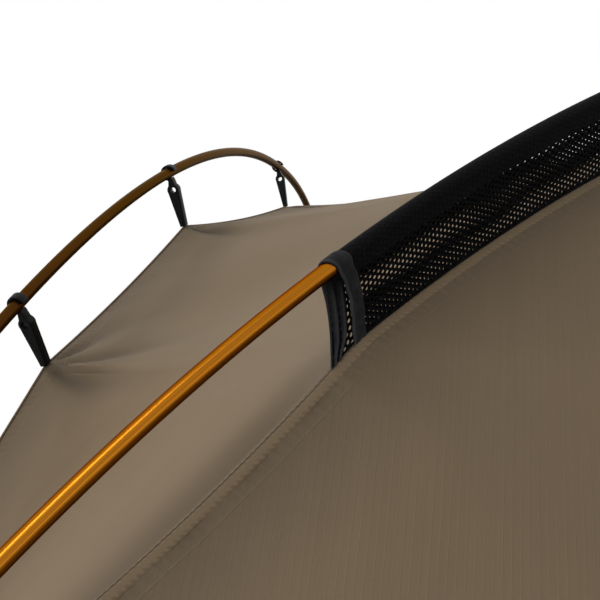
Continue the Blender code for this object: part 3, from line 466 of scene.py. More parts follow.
def knitted(name):
    """Warp-knitted mesh: slanting oval holes in the web, closed knit over the pole."""
    finish = Finish(name, "black_mesh", {"Specular IOR Level": 0.06})
    u, v = finish.cloth()
    from_seam = SLEEVE_HALF_GIRTH - abs(u)
    (first_v, first_w), (second_v, second_w) = FIRST_STEP, SECOND_STEP
    area = first_v * second_w - first_w * second_v
    far_layer = u.rise(-0.0001, 0.0001)
    w = 1 - from_seam * (1 + far_layer * (FAR_LAYER_SCALE - 1)) + far_layer * FAR_LAYER_SHIFT
    v = v + far_layer * from_seam * FAR_LAYER_SLANT
    first = ((v * second_w - w * second_v) * (1 / area)).fraction() - 0.5
    second = ((w * first_v - v * first_w) * (1 / area)).fraction() - 0.5
    near_v = first * first_v + second * second_v
    near_w = first * first_w + second * second_w
    long = near_v * HOLE_AXIS[0] + near_w * HOLE_AXIS[1]
    short = near_w * HOLE_AXIS[0] - near_v * HOLE_AXIS[1]
    distance = (long * (1 / HOLE_HALF_LENGTH)) ** 2 + (short * (1 / HOLE_HALF_WIDTH)) ** 2
    web = from_seam.rise(HOLES_END, HOLES_END - 0.0008) * from_seam.rise(0.0008, 0.0016)
    hole = distance.rise(1.15, 0.85) * web
    yarn = finish.noise(finish.spread(u * 2400, v * 1300), 1.0, 2.0)
    loops = v.wave(LOOP_LENGTH) * u.wave(LOOP_WIDTH)
    dimple = distance.rise(1.6, 0.6) * (1 - web)
    specks = finish.noise(finish.spread(u * 620, v * 480, 5.0), 1.0, 2.0).rise(0.54, 0.72)
    share = yarn * 0.25 + loops * 0.12 + dimple * 0.3 + specks * 0.55 - 0.10
    finish.feed("Base Color", finish.mix(share, KNIT_DEEP, KNIT_PALE))
    finish.feed("Roughness", 0.62 + yarn * 0.2)
    finish.feed("Alpha", 1 - hole)
    finish.relief(loops * 0.3 + yarn * 0.4 - dimple * 0.6, depth=0.00016)
    return finish


def taped(name, slot, deep, pale):
    """Woven tape: a slanting twill, rubbed patches, and a painted highlight along its creases."""
    finish = Finish(name, slot, {"Specular IOR Level": 0.16})
    u, v = finish.cloth()
    twill = (u + v).wave(TWILL_PITCH)
    yarn = finish.noise(finish.spread(u * 1400, v * 1400), 1.0, 2.0)
    worn = finish.noise(finish.place(), 120.0, 3.0).rise(0.35, 0.75)
    # Painted highlight: the crease mark makes the tape paler along its folded edges and its pleats.
    fold_highlights = finish.mark("crease") * 0.9
    finish.feed("Base Color", finish.mix(worn * 0.40 + yarn * 0.30 + twill * 0.10 + fold_highlights, deep, pale))
    finish.feed("Roughness", 0.58 + yarn * 0.22)
    finish.relief(twill * 0.35 + yarn * 0.5, depth=0.00014)
    return finish


def ripstop(name, slot, deep, pale, shaded=None):
    """Ripstop cloth: fine streaks and a raised check, and puckers and shade beside a tent panel's seams."""
    constants = {"Sheen Weight": 0.04, "Sheen Roughness": 0.45, "Specular IOR Level": 0.22}
    finish = Finish(name, slot, constants)
    u, v = finish.cloth()
    warp = finish.noise(finish.spread(u * 300, v * 3.0), 1.0, 3.0, 0.6)
    broad = finish.noise(finish.spread(u * 60, v * 2.0, 3.0), 1.0, 2.0)
    cloud = finish.noise(finish.spread(u * 5, v * 5, 8.0), 1.0, 3.0)
    weave = u.wave(WEAVE_PITCH) * v.wave(WEAVE_PITCH)
    warp_ribs = u.from_middle(RIPSTOP_CHECK).rise(0.09, 0.02)
    weft_ribs = v.from_middle(RIPSTOP_CHECK).rise(0.09, 0.02)
    rib = warp_ribs * 0.8 + weft_ribs * 0.35
    share = warp * 0.55 + broad * 0.45 + cloud * 0.55 - 0.27 + rib * 0.10
    height = weave * 0.10 + rib * 0.35 + warp * 0.5 + broad * 0.6
    if shaded:
        edge, run = finish.mark("edge"), finish.mark("run")
        beside = edge.rise(0.022, 0.002)
        wobble = finish.noise(finish.spread(run * 90, edge * 40), 1.0, 2.0)
        pucker = run.wave(SEAM_PUCKER, wobble * 9.0)
        line = abs(edge - SEAM_LINE).rise(0.0011, 0.0002)
        height = height + beside * pucker * 0.7 + line * 0.8
        # Painted light and shade on the puckers: their troughs darker and their crests paler, and a painted
        # highlight on the thin raised line at SEAM_LINE.
        share = share + line * 0.35 + beside * pucker * 0.10
    colour = finish.mix(share, deep, pale)
    if shaded:
        # Painted shade: the colour darkens towards the shaded taupe near a panel's seams, and further where
        # the valley mark gives the roof's valley and the clips' folds.
        open_cloth = edge.rise(-0.035, 0.085) * (1 - finish.mark("valley") * 0.85)
        colour = finish.mix(open_cloth, shaded, colour)
    finish.feed("Base Color", colour)
    finish.feed("Roughness", 0.60 + warp * 0.14)
    finish.relief(height, depth=0.00022)
    return finish


def sewn_strip(name, deep, pale):
    """A folded strip of the tent's cloth, drawn into puckers by the stitches along both its edges."""
    finish = Finish(name, "tent_fabric", {"Sheen Weight": 0.04, "Specular IOR Level": 0.22})
    u, v = finish.cloth()
    warp = finish.noise(finish.spread(u * 900, v * 60), 1.0, 3.0)
    wobble = finish.noise(finish.spread(u * 160, v * 110, 2.0), 1.0, 2.0)
    pucker = v.wave(STITCH_PITCH, wobble * 5.0)
    edges = abs(u).rise(0.0006, 0.0028)
    # Painted light and shade on the puckers along the strip's edges: darker in their troughs, paler on their
    # crests.
    share = warp * 0.5 + edges * pucker * 0.35 + 0.06
    finish.feed("Base Color", finish.mix(share, deep, pale))
    finish.feed("Roughness", 0.64 + warp * 0.12)
    finish.relief(edges * pucker + wobble * 0.8 + warp * 0.3, depth=0.00018)
    return finish


def netted(name):
    """Window netting, an alpha lattice of fine square holes."""
    finish = Finish(name, "black_mesh", {"Specular IOR Level": 0.06})
    u, v = finish.cloth()
    hole = u.from_middle(NET_PITCH).rise(0.34, 0.28) * v.from_middle(NET_PITCH).rise(0.34, 0.28)
    yarn = finish.noise(finish.spread(u * 2000, v * 2000), 1.0, 1.0)
    finish.feed("Base Color", finish.mix(yarn, KNIT_DEEP, KNIT_PALE))
    finish.feed("Roughness", 0.65 + yarn * 0.2)
    finish.feed("Alpha", 1 - hole)
    return finish


def metal(name):
    """Die-cast zinc: dull, brushed by use."""
    finish = Finish(name, "zip_metal", {"Metallic": 1.0})
    place = finish.place()
    grain = finish.noise(place, 1500.0, 2.0)
    rubbed = finish.noise(place, 420.0, 3.0).rise(0.4, 0.7)
    finish.feed("Base Color", finish.mix(rubbed, STEEL_DEEP, STEEL_PALE))
    finish.feed("Roughness", 0.30 + grain * 0.2)
    finish.relief(grain, depth=0.00004)
    return finish


def spun(name, slot, deep, pale):
    """Sewing thread or zip coil: twisted fibres."""
    finish = Finish(name, slot, {"Sheen Weight": 0.05, "Specular IOR Level": 0.25})
    fibre = finish.noise(finish.place(), 3200.0, 2.0)
    finish.feed("Base Color", finish.mix(fibre, deep, pale))
    finish.feed("Roughness", 0.5 + fibre * 0.25)
    finish.relief(fibre, depth=0.00006)
    return finish


ORANGE = anodised("orange_anodised", ORANGE_DEEP, ORANGE_BRIGHT, 0.19, ORANGE_EDGE)
# The hoops take the darker copy of the orange finish, as painted shade.
SHADED_ORANGE = anodised("orange_anodised_painted_shade", SHADED_ORANGE_DEEP, SHADED_ORANGE_BRIGHT, 0.30, SHADED_ORANGE_EDGE)
PLASTIC = moulded("black_nylon", PLASTIC_DEEP, PLASTIC_WORN)
KNIT = knitted("black_knitted_mesh")
BINDING = taped("charcoal_tape", "binding_tape", TAPE_DEEP, TAPE_PALE)
CLOTH = ripstop("taupe_ripstop", "tent_fabric", TAUPE_DEEP, TAUPE_PALE, TAUPE_SHADED)
STRIP = sewn_strip("taupe_seam_strip", TAUPE_DEEP, TAUPE_PALE)
# Painted shade: a darker copy of the seam strip's finish, for the strips on the roof side of each ridge
# seam.
SHADED_STRIP = sewn_strip("taupe_seam_strip_shaded", TAUPE_SHADED, TAUPE_DEEP)
FLOOR_CLOTH = ripstop("coated_floor_cloth", "floor_fabric", FLOOR_DEEP, FLOOR_PALE)
NET = netted("window_net")
METAL = metal("zip_zinc")
COIL = spun("zip_coil_nylon", "zip_coil", PLASTIC_DEEP, PLASTIC_WORN)
THREAD = spun("taupe_thread", "tent_fabric", TAUPE_DEEP, THREAD_PALE)
DARK_THREAD = spun("charcoal_thread", "binding_tape", TAPE_DEEP, TAPE_PALE)


def unit(vectors):
    return vectors / np.linalg.norm(vectors, axis=-1, keepdims=True)


def fade(value, low, high):
    """0 below one level and 1 above the other, with a soft step between them."""
    share = np.clip((value - low) / (high - low), 0, 1)
    return share * share * (3 - 2 * share)


def hump(value, centre, width):
    """1 at a centre, falling away softly on both sides of it."""
    return np.exp(-(((value - centre) / width) ** 2))


class Arch:
    """A pole's centreline from foot to foot in one plane, read by the distance from its first foot."""

    def __init__(self, middle, half_span, rise, squareness):
        angles = np.linspace(0, math.pi, 4001)
        across = np.sign(np.cos(angles)) * np.abs(np.cos(angles)) ** (2 / squareness)
        up = np.abs(np.sin(angles)) ** (2 / squareness)
        points = np.add(middle, np.outer(across, half_span) + np.outer(up, rise))
        steps = np.linalg.norm(np.diff(points, axis=0), axis=1)
        distance = np.concatenate([[0], np.cumsum(steps)])
        self.length = float(distance[-1])
        self.stations = np.linspace(0, self.length, 1201)
        self.points = np.stack([np.interp(self.stations, distance, points[:, k]) for k in range(3)], 1)
        self.side = unit(np.cross(half_span, rise))

    def at(self, s):
        return np.stack([np.interp(s, self.stations, self.points[:, k]) for k in range(3)], -1)

    def tangent(self, s):
        low = np.clip(s - TANGENT_REACH, 0, self.length - 2 * TANGENT_REACH)
        return unit(self.at(low + 2 * TANGENT_REACH) - self.at(low))

    def inward(self, s):
        return np.cross(self.side, self.tangent(s))


class Ridge:
    """The fabric ridge below a pole: straight with a little sag between clips, even along a sleeve."""

    def __init__(self, arch, anchors, drop, shift=0.0, sleeve=(1.0, 0.0)):
        self.arch, self.anchors, self.drop, self.shift, self.sleeve = arch, anchors, drop, shift, sleeve

    def hung(self, s):
        return self.arch.at(s) + self.drop * self.arch.inward(s) + self.shift * self.arch.side

    def at(self, s):
        s = np.asarray(s, float)
        index = np.clip(np.searchsorted(self.anchors, s), 1, len(self.anchors) - 1)
        low, high = np.take(self.anchors, index - 1), np.take(self.anchors, index)
        share = ((s - low) / (high - low))[..., None]
        chord = (1 - share) * self.hung(low) + share * self.hung(high)
        chord = chord + 4 * share * (1 - share) * CHORD_SAG * self.arch.inward(s)
        sleeved = (s >= self.sleeve[0]) & (s <= self.sleeve[1])
        return np.where(sleeved[..., None], self.hung(s), chord)

    def station_at_height(self, height):
        """The distance along the first leg at which the ridge reaches a height."""
        trial = np.linspace(0, self.arch.length * LEG_SHARE, 800)
        return float(np.interp(height, self.at(trial)[:, 2], trial))


def ridge_arch(corner_side, rise):
    """A ridge pole from the front corner on one side (+1 right, -1 left) to the rear corner opposite."""
    half_span = np.array([corner_side * RIDGE_FOOT_X, -RIDGE_FOOT_Y, 0.0])
    return Arch((0, 0, 0), half_span, np.array([0, 0, rise]), RIDGE_SQUARENESS)


def hoop_arch(end):
    """A hoop pole, from the right foot of the front one (-1) or the left foot of the rear one (+1)."""
    half_span = np.array([-end * RIDGE_FOOT_X, 0.0, 0.0])
    middle = (0, end * (RIDGE_FOOT_Y + HOOP_FORWARD), 0)
    return Arch(middle, half_span, np.array([0, -end * HOOP_LEAN, HOOP_HEIGHT]), HOOP_SQUARENESS)


POLES = {
    "ridge_pole_a": ridge_arch(1, RIDGE_HEIGHT + CROSSING_RISE),
    "ridge_pole_b": ridge_arch(-1, RIDGE_HEIGHT - CROSSING_RISE),
    "front_hoop": hoop_arch(-1),
    "rear_hoop": hoop_arch(1),
}
RIDGE_LINE = ridge_arch(1, RIDGE_HEIGHT)
RIDGE_MIDDLE = RIDGE_LINE.length / 2
SEAM = Ridge(
    RIDGE_LINE,
    [0.0, *LEG_CLIPS, SLEEVE_MOUTH, RIDGE_LINE.length],
    RIDGE_DROP,
    sleeve=(SLEEVE_MOUTH, RIDGE_LINE.length - SLEEVE_MOUTH),
)
HOOP = POLES["front_hoop"]
HOOP_MIDDLE = HOOP.length / 2
LOW_HOOP_CLIPS = [HOOP_MIDDLE - reach for reach in reversed(HOOP_CLIPS)]
HIGH_HOOP_CLIPS = [HOOP_MIDDLE + reach for reach in HOOP_CLIPS]
HOOP_ANCHORS = [0.0, *LOW_HOOP_CLIPS, HOOP_MIDDLE, *HIGH_HOOP_CLIPS, HOOP.length]
HOOP_SIDE_SIGN = 1 if HOOP.side[1] > 0 else -1
HOOP_SEAM = Ridge(
    HOOP,
    HOOP_ANCHORS,
    HOOP_DROP * math.cos(HOOP_DROP_TILT),
    shift=HOOP_SIDE_SIGN * HOOP_DROP * math.sin(HOOP_DROP_TILT),
)
SEAM_BASE = SEAM.station_at_height(TUB_HEIGHT)
HOOP_SEAM_BASE = HOOP_SEAM.station_at_height(TUB_HEIGHT)
SEAM_TOP = RIDGE_MIDDLE - CROWN_CUT


def half_stations(base, stops, pieces):
    """Stations from the tub up one half of a ridge, with a number of equal pieces between its stops."""
    stations = [base]
    for start, end, count in zip([base, *stops], stops, pieces):
        stations += list(np.linspace(start, end, count + 1)[1:])
    return stations


RIDGE_STATIONS = half_stations(SEAM_BASE, [*LEG_CLIPS, SLEEVE_MOUTH, SEAM_TOP], (1, 2, 2, 2, 2, 8))
HOOP_STATIONS = half_stations(HOOP_SEAM_BASE, [*LOW_HOOP_CLIPS, HOOP_MIDDLE], (3, 3, 3, 3, 5))
RIDGE_JOINT = RIDGE_STATIONS[6]
HOOP_JOINT = HOOP.length - HOOP_STATIONS[15]


def eased_match(passes=3000, steps=801):
    """Which place on the hoop's ridge faces each place on the pole's ridge, with its kinks smoothed."""
    places = np.linspace(SEAM_BASE, SEAM_TOP, steps)
    match = np.interp(places, RIDGE_STATIONS, HOOP_STATIONS)
    for _ in range(passes):
        match[1:-1] = (match[:-2] + match[2:]) / 2
    return places, match


MATCH = eased_match()

# Half a turn about the upright, and the mirror image across the tent's middle
REAR_TURN = np.array([-1.0, -1.0, 1.0])
MIRROR = np.array([-1.0, 1.0, 1.0])

# Each corner's name, its ridge pole, its side (+1 right) and its end (-1 front)
CORNERS = (
    ("front_right", "ridge_pole_a", 1, -1),
    ("front_left", "ridge_pole_b", -1, -1),
    ("rear_right", "ridge_pole_b", 1, 1),
    ("rear_left", "ridge_pole_a", -1, 1),
)


def ridge_below(arch, s):
    """The fabric ridge's place below a ridge pole, at a distance along that pole."""
    near = np.minimum(s, arch.length - s) * RIDGE_LINE.length / arch.length
    place, pole = SEAM.at(near), arch.at(s)
    return np.stack([
        np.copysign(place[..., 0], pole[..., 0]),
        np.copysign(place[..., 1], pole[..., 1]),
        place[..., 2],
    ], -1)


def turn_outwards(shape):
    """Turns the faces of a closed bmesh outwards."""
    bmesh.ops.recalc_face_normals(shape, faces=shape.faces)
    if shape.calc_volume(signed=True) < 0:
        bmesh.ops.reverse_faces(shape, faces=shape.faces)


def placed(name, data):
    """A new object in the scene, from its mesh, curve, lamp or camera."""
    obj = bpy.data.objects.new(name, data)
    bpy.context.scene.collection.objects.link(obj)
    return obj


def plain_mesh(helper):
    """A helper object's evaluated shape as a plain mesh. The helper is removed."""
    bpy.context.view_layer.update()
    shaped = helper.evaluated_get(bpy.context.evaluated_depsgraph_get())
    mesh = bpy.data.meshes.new_from_object(shaped)
    bpy.data.objects.remove(helper, do_unlink=True)
    return mesh


def chart_of(across, along):
    """A UV map in metres, from distances across a piece and along it."""
    return np.stack(np.broadcast_arrays(across, along), -1)


def made_mesh(name, points, faces, chart, marks=None, girth=0.0, sharp=35):
    """A closed smooth mesh with its UV map and point marks.

    girth is the UV width of one turn round it, and sharp the angle past which its edges stay sharp.
    """
    mesh = bpy.data.meshes.new(name)
    mesh.from_pydata(points.tolist(), [], faces)
    shape = bmesh.new()
    shape.from_mesh(mesh)
    turn_outwards(shape)
    shape.to_mesh(mesh)
    shape.free()
    corners = np.empty(len(mesh.loops), int)
    mesh.loops.foreach_get("vertex_index", corners)
    places = chart[corners].astype(float)
    if girth:
        starts = np.empty(len(mesh.polygons), int)
        totals = np.empty(len(mesh.polygons), int)
        mesh.polygons.foreach_get("loop_start", starts)
        mesh.polygons.foreach_get("loop_total", totals)
        high = np.repeat(np.maximum.reduceat(places[:, 0], starts), totals)
        low = np.repeat(np.minimum.reduceat(places[:, 0], starts), totals)
        places[:, 0] += girth * ((high - low > girth / 2) & (places[:, 0] < girth / 2))
    mesh.uv_layers.new(name="UVMap").data.foreach_set("uv", places.ravel())
    for label, values in (marks or {}).items():
        mesh.attributes.new(label, "FLOAT", "POINT").data.foreach_set("value", np.ravel(values))
    mesh.shade_smooth()
    mesh.set_sharp_from_angle(angle=math.radians(sharp))
    return mesh


def piece(name, mesh, finish, body="tent", nodes=()):
    """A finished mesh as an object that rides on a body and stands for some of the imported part's nodes."""
    mesh.name = name
    mesh.materials.clear()
    mesh.materials.append(finish.material)
    obj = placed(name, mesh)
    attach(obj, body)
    if nodes:
        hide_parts(*nodes)
    return obj


def quads_of(index):
    """The faces between the rows and columns of a grid of point numbers."""
    corners = (index[:-1, :-1], index[:-1, 1:], index[1:, 1:], index[1:, :-1])
    return np.stack(corners, -1).reshape(-1, 4).tolist()


def cloth_mesh(name, grid, outward, thickness, chart, marks=None, ring=False, capped=False):
    """A thin closed cloth from a grid of points on its outer face and the directions out of it.

    ring joins its last column to its first, and capped fills its first row.
    """
    rows, columns = grid.shape[:2]
    points = np.concatenate([grid.reshape(-1, 3), (grid - thickness * outward).reshape(-1, 3)])
    index = np.arange(rows * columns).reshape(rows, columns)
    loop = np.concatenate([index, index[:, :1]], 1) if ring else index
    far = loop + rows * columns
    faces = quads_of(loop) + [face[::-1] for face in quads_of(far)]
    edges = [(loop[-1], far[-1])]
    if not capped:
        edges.append((loop[0], far[0]))
    if not ring:
        edges += [(loop[:, 0], far[:, 0]), (loop[:, -1], far[:, -1])]
    for near_edge, far_edge in edges:
        faces += quads_of(np.stack([near_edge, far_edge]))
    if capped:
        faces += [index[0].tolist(), (index[0] + rows * columns).tolist()]
    chart = np.concatenate([chart.reshape(-1, 2)] * 2)
    marks = {label: np.concatenate([values.ravel()] * 2) for label, values in (marks or {}).items()}
    return made_mesh(name, points, faces, chart, marks)


def skin_mesh(name, rings, chart, girth=0.0, sharp=35, marks=None):
    """A closed body from rings of points, one after another, with both end rings filled."""
    rows, columns = rings.shape[:2]
    index = np.arange(rows * columns).reshape(rows, columns)
    faces = quads_of(np.concatenate([index, index[:, :1]], 1))
    faces += [index[0].tolist(), index[-1].tolist()]
    return made_mesh(name, rings.reshape(-1, 3), faces, chart.reshape(-1, 2), marks, girth, sharp)


def joined(name, meshes):
    """Several meshes as one."""
    shape = bmesh.new()
    for mesh in meshes:
        shape.from_mesh(mesh)
        bpy.data.meshes.remove(mesh)
    result = bpy.data.meshes.new(name)
    shape.to_mesh(result)
    shape.free()
    return result


def area_of(grid, ring=False):
    """The area of one side of a grid of points."""
    loop = np.concatenate([grid, grid[:, :1]], 1) if ring else grid
    first = loop[1:, 1:] - loop[:-1, :-1]
    second = loop[1:, :-1] - loop[:-1, 1:]
    return float(np.linalg.norm(np.cross(first, second), axis=-1).sum() / 2)


def outward_normals(grid, inside):
    """Unit normals of a grid of points, all on the far side from the point given."""
    normals = unit(np.cross(np.gradient(grid, axis=0), np.gradient(grid, axis=1)))
    flip = np.einsum("ijk,ijk->ij", normals, grid - inside) < 0
    return np.where(flip[..., None], -normals, normals)


def turned_mesh(name, arch, profile):
    """A round body on an arch, from its (distance along it, radius) profile. Its UV is in metres."""
    s, radius = np.array(profile).T
    turns = np.arange(POLE_SIDES) * 2 * math.pi / POLE_SIDES
    inward = arch.inward(s)[:, None] * np.cos(turns)[None, :, None]
    sideways = arch.side * np.sin(turns)[None, :, None]
    rings = arch.at(s)[:, None] + radius[:, None, None] * (inward + sideways)
    chart = chart_of(turns[None] * POLE_RADIUS, s[:, None])
    return skin_mesh(name, rings, chart, girth=2 * math.pi * POLE_RADIUS)


def make_pole(name, arch, joints, section_names, tip_names, tilt, finish):
    """Pole sections, each with a ferrule into the next one's bore, and a moulded tip in each foot."""
    bore, tip_bore = FERRULE_RADIUS + FIT_GAP, TIP_PLUG_RADIUS + FIT_GAP
    depth = FERRULE_LENGTH + 2 * FIT_GAP
    foot = TIP_COLLAR_TOP + FIT_GAP
    tip_depth = TIP_COLLAR_TOP + TIP_PLUG_LENGTH + FIT_GAP
    ends = [foot, *joints, arch.length - foot]
    for k, section_name in enumerate(section_names):
        start, end = ends[k], ends[k + 1]
        if k == 0:
            profile = [(tip_depth, tip_bore), (start, tip_bore)]
        else:
            start += FIT_GAP
            profile = [(start + depth, bore), (start, bore)]
        profile += [(start, POLE_RADIUS - POLE_EDGE), (start + POLE_EDGE, POLE_RADIUS)]
        count = int((end - start) / POLE_STEP)
        inside = np.linspace(start + POLE_EDGE, end - POLE_EDGE, count)[1:-1]
        profile += [(s, POLE_RADIUS) for s in inside]
        profile += [(end - POLE_EDGE, POLE_RADIUS), (end, POLE_RADIUS - POLE_EDGE)]
        if k == len(section_names) - 1:
            profile += [(end, tip_bore), (arch.length - tip_depth, tip_bore)]
        else:
            ferrule_end = end + FERRULE_LENGTH
            profile += [
                (end, FERRULE_RADIUS),
                (ferrule_end - POLE_EDGE, FERRULE_RADIUS),
                (ferrule_end, FERRULE_RADIUS - POLE_EDGE),
            ]
        mesh = turned_mesh(section_name, arch, profile)
        piece(f"{name}_{section_name}_tube", mesh, finish, nodes=[f"{name}_{section_name}"])
    pin_end = (TIP_GROUND_GAP + TIP_PIN_RADIUS * math.sin(tilt)) / math.cos(tilt)
    collar = (TAB_THICKNESS + FIT_GAP + TIP_COLLAR_RADIUS * math.sin(tilt)) / math.cos(tilt)
    edge = 2 * POLE_EDGE
    tip = [
        (pin_end, TIP_PIN_RADIUS - edge),
        (pin_end + edge, TIP_PIN_RADIUS),
        (collar, TIP_PIN_RADIUS),
        (collar, TIP_COLLAR_RADIUS - edge),
        (collar + edge, TIP_COLLAR_RADIUS),
        (TIP_COLLAR_TOP - 5 * edge, TIP_COLLAR_RADIUS),
        (TIP_COLLAR_TOP, POLE_RADIUS),
        (TIP_COLLAR_TOP, TIP_PLUG_RADIUS),
        (tip_depth - FIT_GAP, TIP_PLUG_RADIUS),
    ]
    far_tip = [(arch.length - s, radius) for s, radius in tip]
    for tip_name, profile in zip(tip_names, (tip, far_tip)):
        mesh = turned_mesh(tip_name, arch, profile)
        piece(f"{name}_tip_{tip_name}_plug", mesh, PLASTIC, nodes=[f"{name}_tip_{tip_name}"])


def make_poles():
    """Two ridge poles of three sections each, and two hoops of two."""
    for name, corners in (
        ("ridge_pole_a", ("front_right", "rear_left")),
        ("ridge_pole_b", ("front_left", "rear_right")),
    ):
        arch = POLES[name]
        joint = RIDGE_JOINT * arch.length / RIDGE_LINE.length
        sections = (f"leg_{corners[0]}", "crown", f"leg_{corners[1]}")
        make_pole(name, arch, [joint, arch.length - joint], sections, corners, 0.0, ORANGE)
    for name, sides in (("front_hoop", ("right", "left")), ("rear_hoop", ("left", "right"))):
        sections = (f"section_{sides[0]}", f"section_{sides[1]}")
        make_pole(name, POLES[name], [HOOP_JOINT], sections, sides, HOOP_TILT, SHADED_ORANGE)


def sleeve_surface(arch, roof, s, c):
    """A mesh sleeve's place, outward direction and distance from its seam.

    s is the distance along the pole. c runs from -1 at the seam on the side wall, over the pole, to 1 at
    the seam on the roof, and roof is the sign of the pole's side vector that points at the roof.
    """
    s, c = np.broadcast_arrays(s, c)
    pole, inward = arch.at(s), arch.inward(s)
    side = roof * arch.side
    reach = np.einsum("...k,...k->...", ridge_below(arch, s) - pole, inward) - WEB_GAP
    radius = POLE_RADIUS + SLEEVE_EASE + SLEEVE_THICKNESS
    slope = np.arccos((radius - WEB_HALF_WIDTH) / reach)
    web_length = np.sqrt(reach**2 - radius**2)
    arc_length = (math.pi - slope) * radius
    from_seam = (1 - np.abs(c)) * (web_length + arc_length)
    sign = np.where(c < 0, -1.0, 1.0)
    rise = np.clip(from_seam - web_length, 0, None) / radius
    turn = slope + rise
    away = np.cos(turn)[..., None] * inward + (sign * np.sin(turn))[..., None] * side
    on_arc = pole + radius * away
    share = np.clip(from_seam / web_length, 0, 1)[..., None]
    root = pole + reach[..., None] * inward + (sign * WEB_HALF_WIDTH)[..., None] * side
    place = np.where((from_seam > web_length)[..., None], on_arc, (1 - share) * root + share * on_arc)
    return place, away, from_seam


def mouth_shift(c):
    """How far the sleeve's mouth leans towards the foot, over its girth."""
    near = np.clip(-c, 0, 1)
    bulge = NEAR_LAYER_BULGE * np.sin(math.pi * near**0.8)
    return bulge - NEAR_LAYER_LEAN * near**1.2 - FAR_LAYER_LEAN * np.clip(c, 0, 1) ** 1.8


def sleeve_columns():
    """Girth positions of a sleeve's columns, closer together over the pole."""
    top = 0.23
    web = np.linspace(-1, -top, WEB_COLUMNS + 1)
    over = np.linspace(-top, top, TOP_COLUMNS + 1)[1:-1]
    return np.concatenate([web, over, -web[::-1]])


def make_sleeve(corner, pole_name, turn):
    """A mesh sleeve from its mouth nearly up to the crown, and the tape round its mouth."""
    arch = POLES[pole_name]
    roof = 1 if pole_name == "ridge_pole_a" else -1
    stretch = arch.length / RIDGE_LINE.length
    mouth, top = SLEEVE_MOUTH * stretch, (RIDGE_MIDDLE - SLEEVE_TOP_GAP) * stretch
    c = sleeve_columns()
    rows = np.linspace(mouth, top, int((top - mouth) / SLEEVE_STEP))
    lean = mouth_shift(c)[None] * (1 - fade(rows - mouth, 0, 6 * FAR_LAYER_LEAN))[:, None]
    s = rows[:, None] + lean
    place, away, from_seam = sleeve_surface(arch, roof, s, c[None])
    slack = SLEEVE_SLACK * np.sin(s * 61 + c * 3) * np.sin(s * 23 + 1) * np.clip(from_seam / 0.02, 0, 1)
    slack *= np.abs(c) > 0.3
    place = place + slack[..., None] * away
    sign = np.where(c < 0, -1.0, 1.0)[None]
    chart = chart_of(sign * (SLEEVE_HALF_GIRTH - from_seam), s)
    mesh = cloth_mesh(corner, place * turn, away * turn, SLEEVE_THICKNESS, chart)
    obj = piece(f"mesh_sleeve_{corner}_knit", mesh, KNIT, nodes=[f"mesh_sleeve_{corner}"])
    girth, length = 2 * SLEEVE_HALF_GIRTH, top - mouth + FAR_LAYER_LEAN
    min(area_of(place), girth * length)
    make_mouth_tape(corner, arch, roof, turn, mouth)


def make_mouth_tape(corner, arch, roof, turn, mouth):
    """Tape folded over the sleeve's mouth: a creased band, proud over the pole, with a folded far end."""
    c = np.linspace(-1, 1, TAPE_COLUMNS)[:, None]
    inner = SLEEVE_THICKNESS + 0.0002
    shares = np.linspace(0, 1, TAPE_ROWS)
    fold = [(-0.10, -inner), (-0.16, -0.3 * inner), (-0.14, 0.0003), (-0.07, 0.0006)]
    grooved = [(share, TAPE_PROUD - TAPE_GROOVE * hump(share, 0.46, 0.05)) for share in shares[:-1]]
    inside = [(share, -inner) for share in shares[:0:-1]]
    loop = np.array([*fold, *grooved, (1.0, 0.0002), *inside])
    along, proud = loop[:, 0][None], loop[:, 1][None]
    over = hump(c, 0.0, 0.13)
    tail = 1 - 0.40 * fade(c, 0.85, 1.0)
    width = TAPE_WIDTH * (1 - 0.15 * fade(-c, 0.1, 0.3) + 0.40 * fade(c, 0.1, 0.3)) * tail
    pleated = fade(c, 0.25, 0.50)
    pleat = pleated * np.sin(2 * math.pi * 2.1 * along + 0.8)
    wave = 0.00025 * np.sin(c * 31) * (c < 0) + 0.0002 * np.sin(c * 9 + 1)
    s = mouth + mouth_shift(c) + along * width + wave * (1 - over)
    collar = 0.0002 * over * hump(along, 0.45, 0.35) * (proud > 0)
    place, away, from_seam = sleeve_surface(arch, roof, s, c)
    rings = place + (proud + collar + TAPE_PLEAT * pleat)[..., None] * away
    # The crease mark is a painted highlight along the tape's two folded edges and its pleats.
    crease = hump(along, -0.05, 0.08) + hump(along, 0.98, 0.06) + 0.8 * np.clip(-pleat, 0, 1)
    sign = np.where(c < 0, -1.0, 1.0)
    chart = chart_of(along * TAPE_WIDTH, sign * (SLEEVE_HALF_GIRTH - from_seam))
    mesh = skin_mesh(corner, rings * turn, chart, sharp=60, marks={"crease": crease})
    piece(f"sleeve_binding_{corner}_tape", mesh, BINDING, nodes=[f"sleeve_binding_{corner}"])


def make_sleeves():
    for corner, pole_name, _, end in CORNERS:
        make_sleeve(corner, pole_name, REAR_TURN if end > 0 else np.ones(3))


def side_wall_place(s, across):
    """A place on the right wall. across runs from -1 at the front ridge to 1 at the rear one."""
    s, across = np.broadcast_arrays(s, across)
    corner = SEAM.at(s)
    share = (s - SEAM_BASE) / (SEAM_TOP - SEAM_BASE)
    depth = SIDE_SAG * np.sin(math.pi * np.clip(share, 0, 1) ** SIDE_SAG_SKEW)
    sag = depth[..., None] * unit(RIDGE_LINE.inward(s) * np.array([1.0, 0.0, 1.0]))
    flat = np.stack([corner[..., 0], -across * corner[..., 1], corner[..., 2]], -1)
    return flat + sag * (1 - across**2)[..., None]


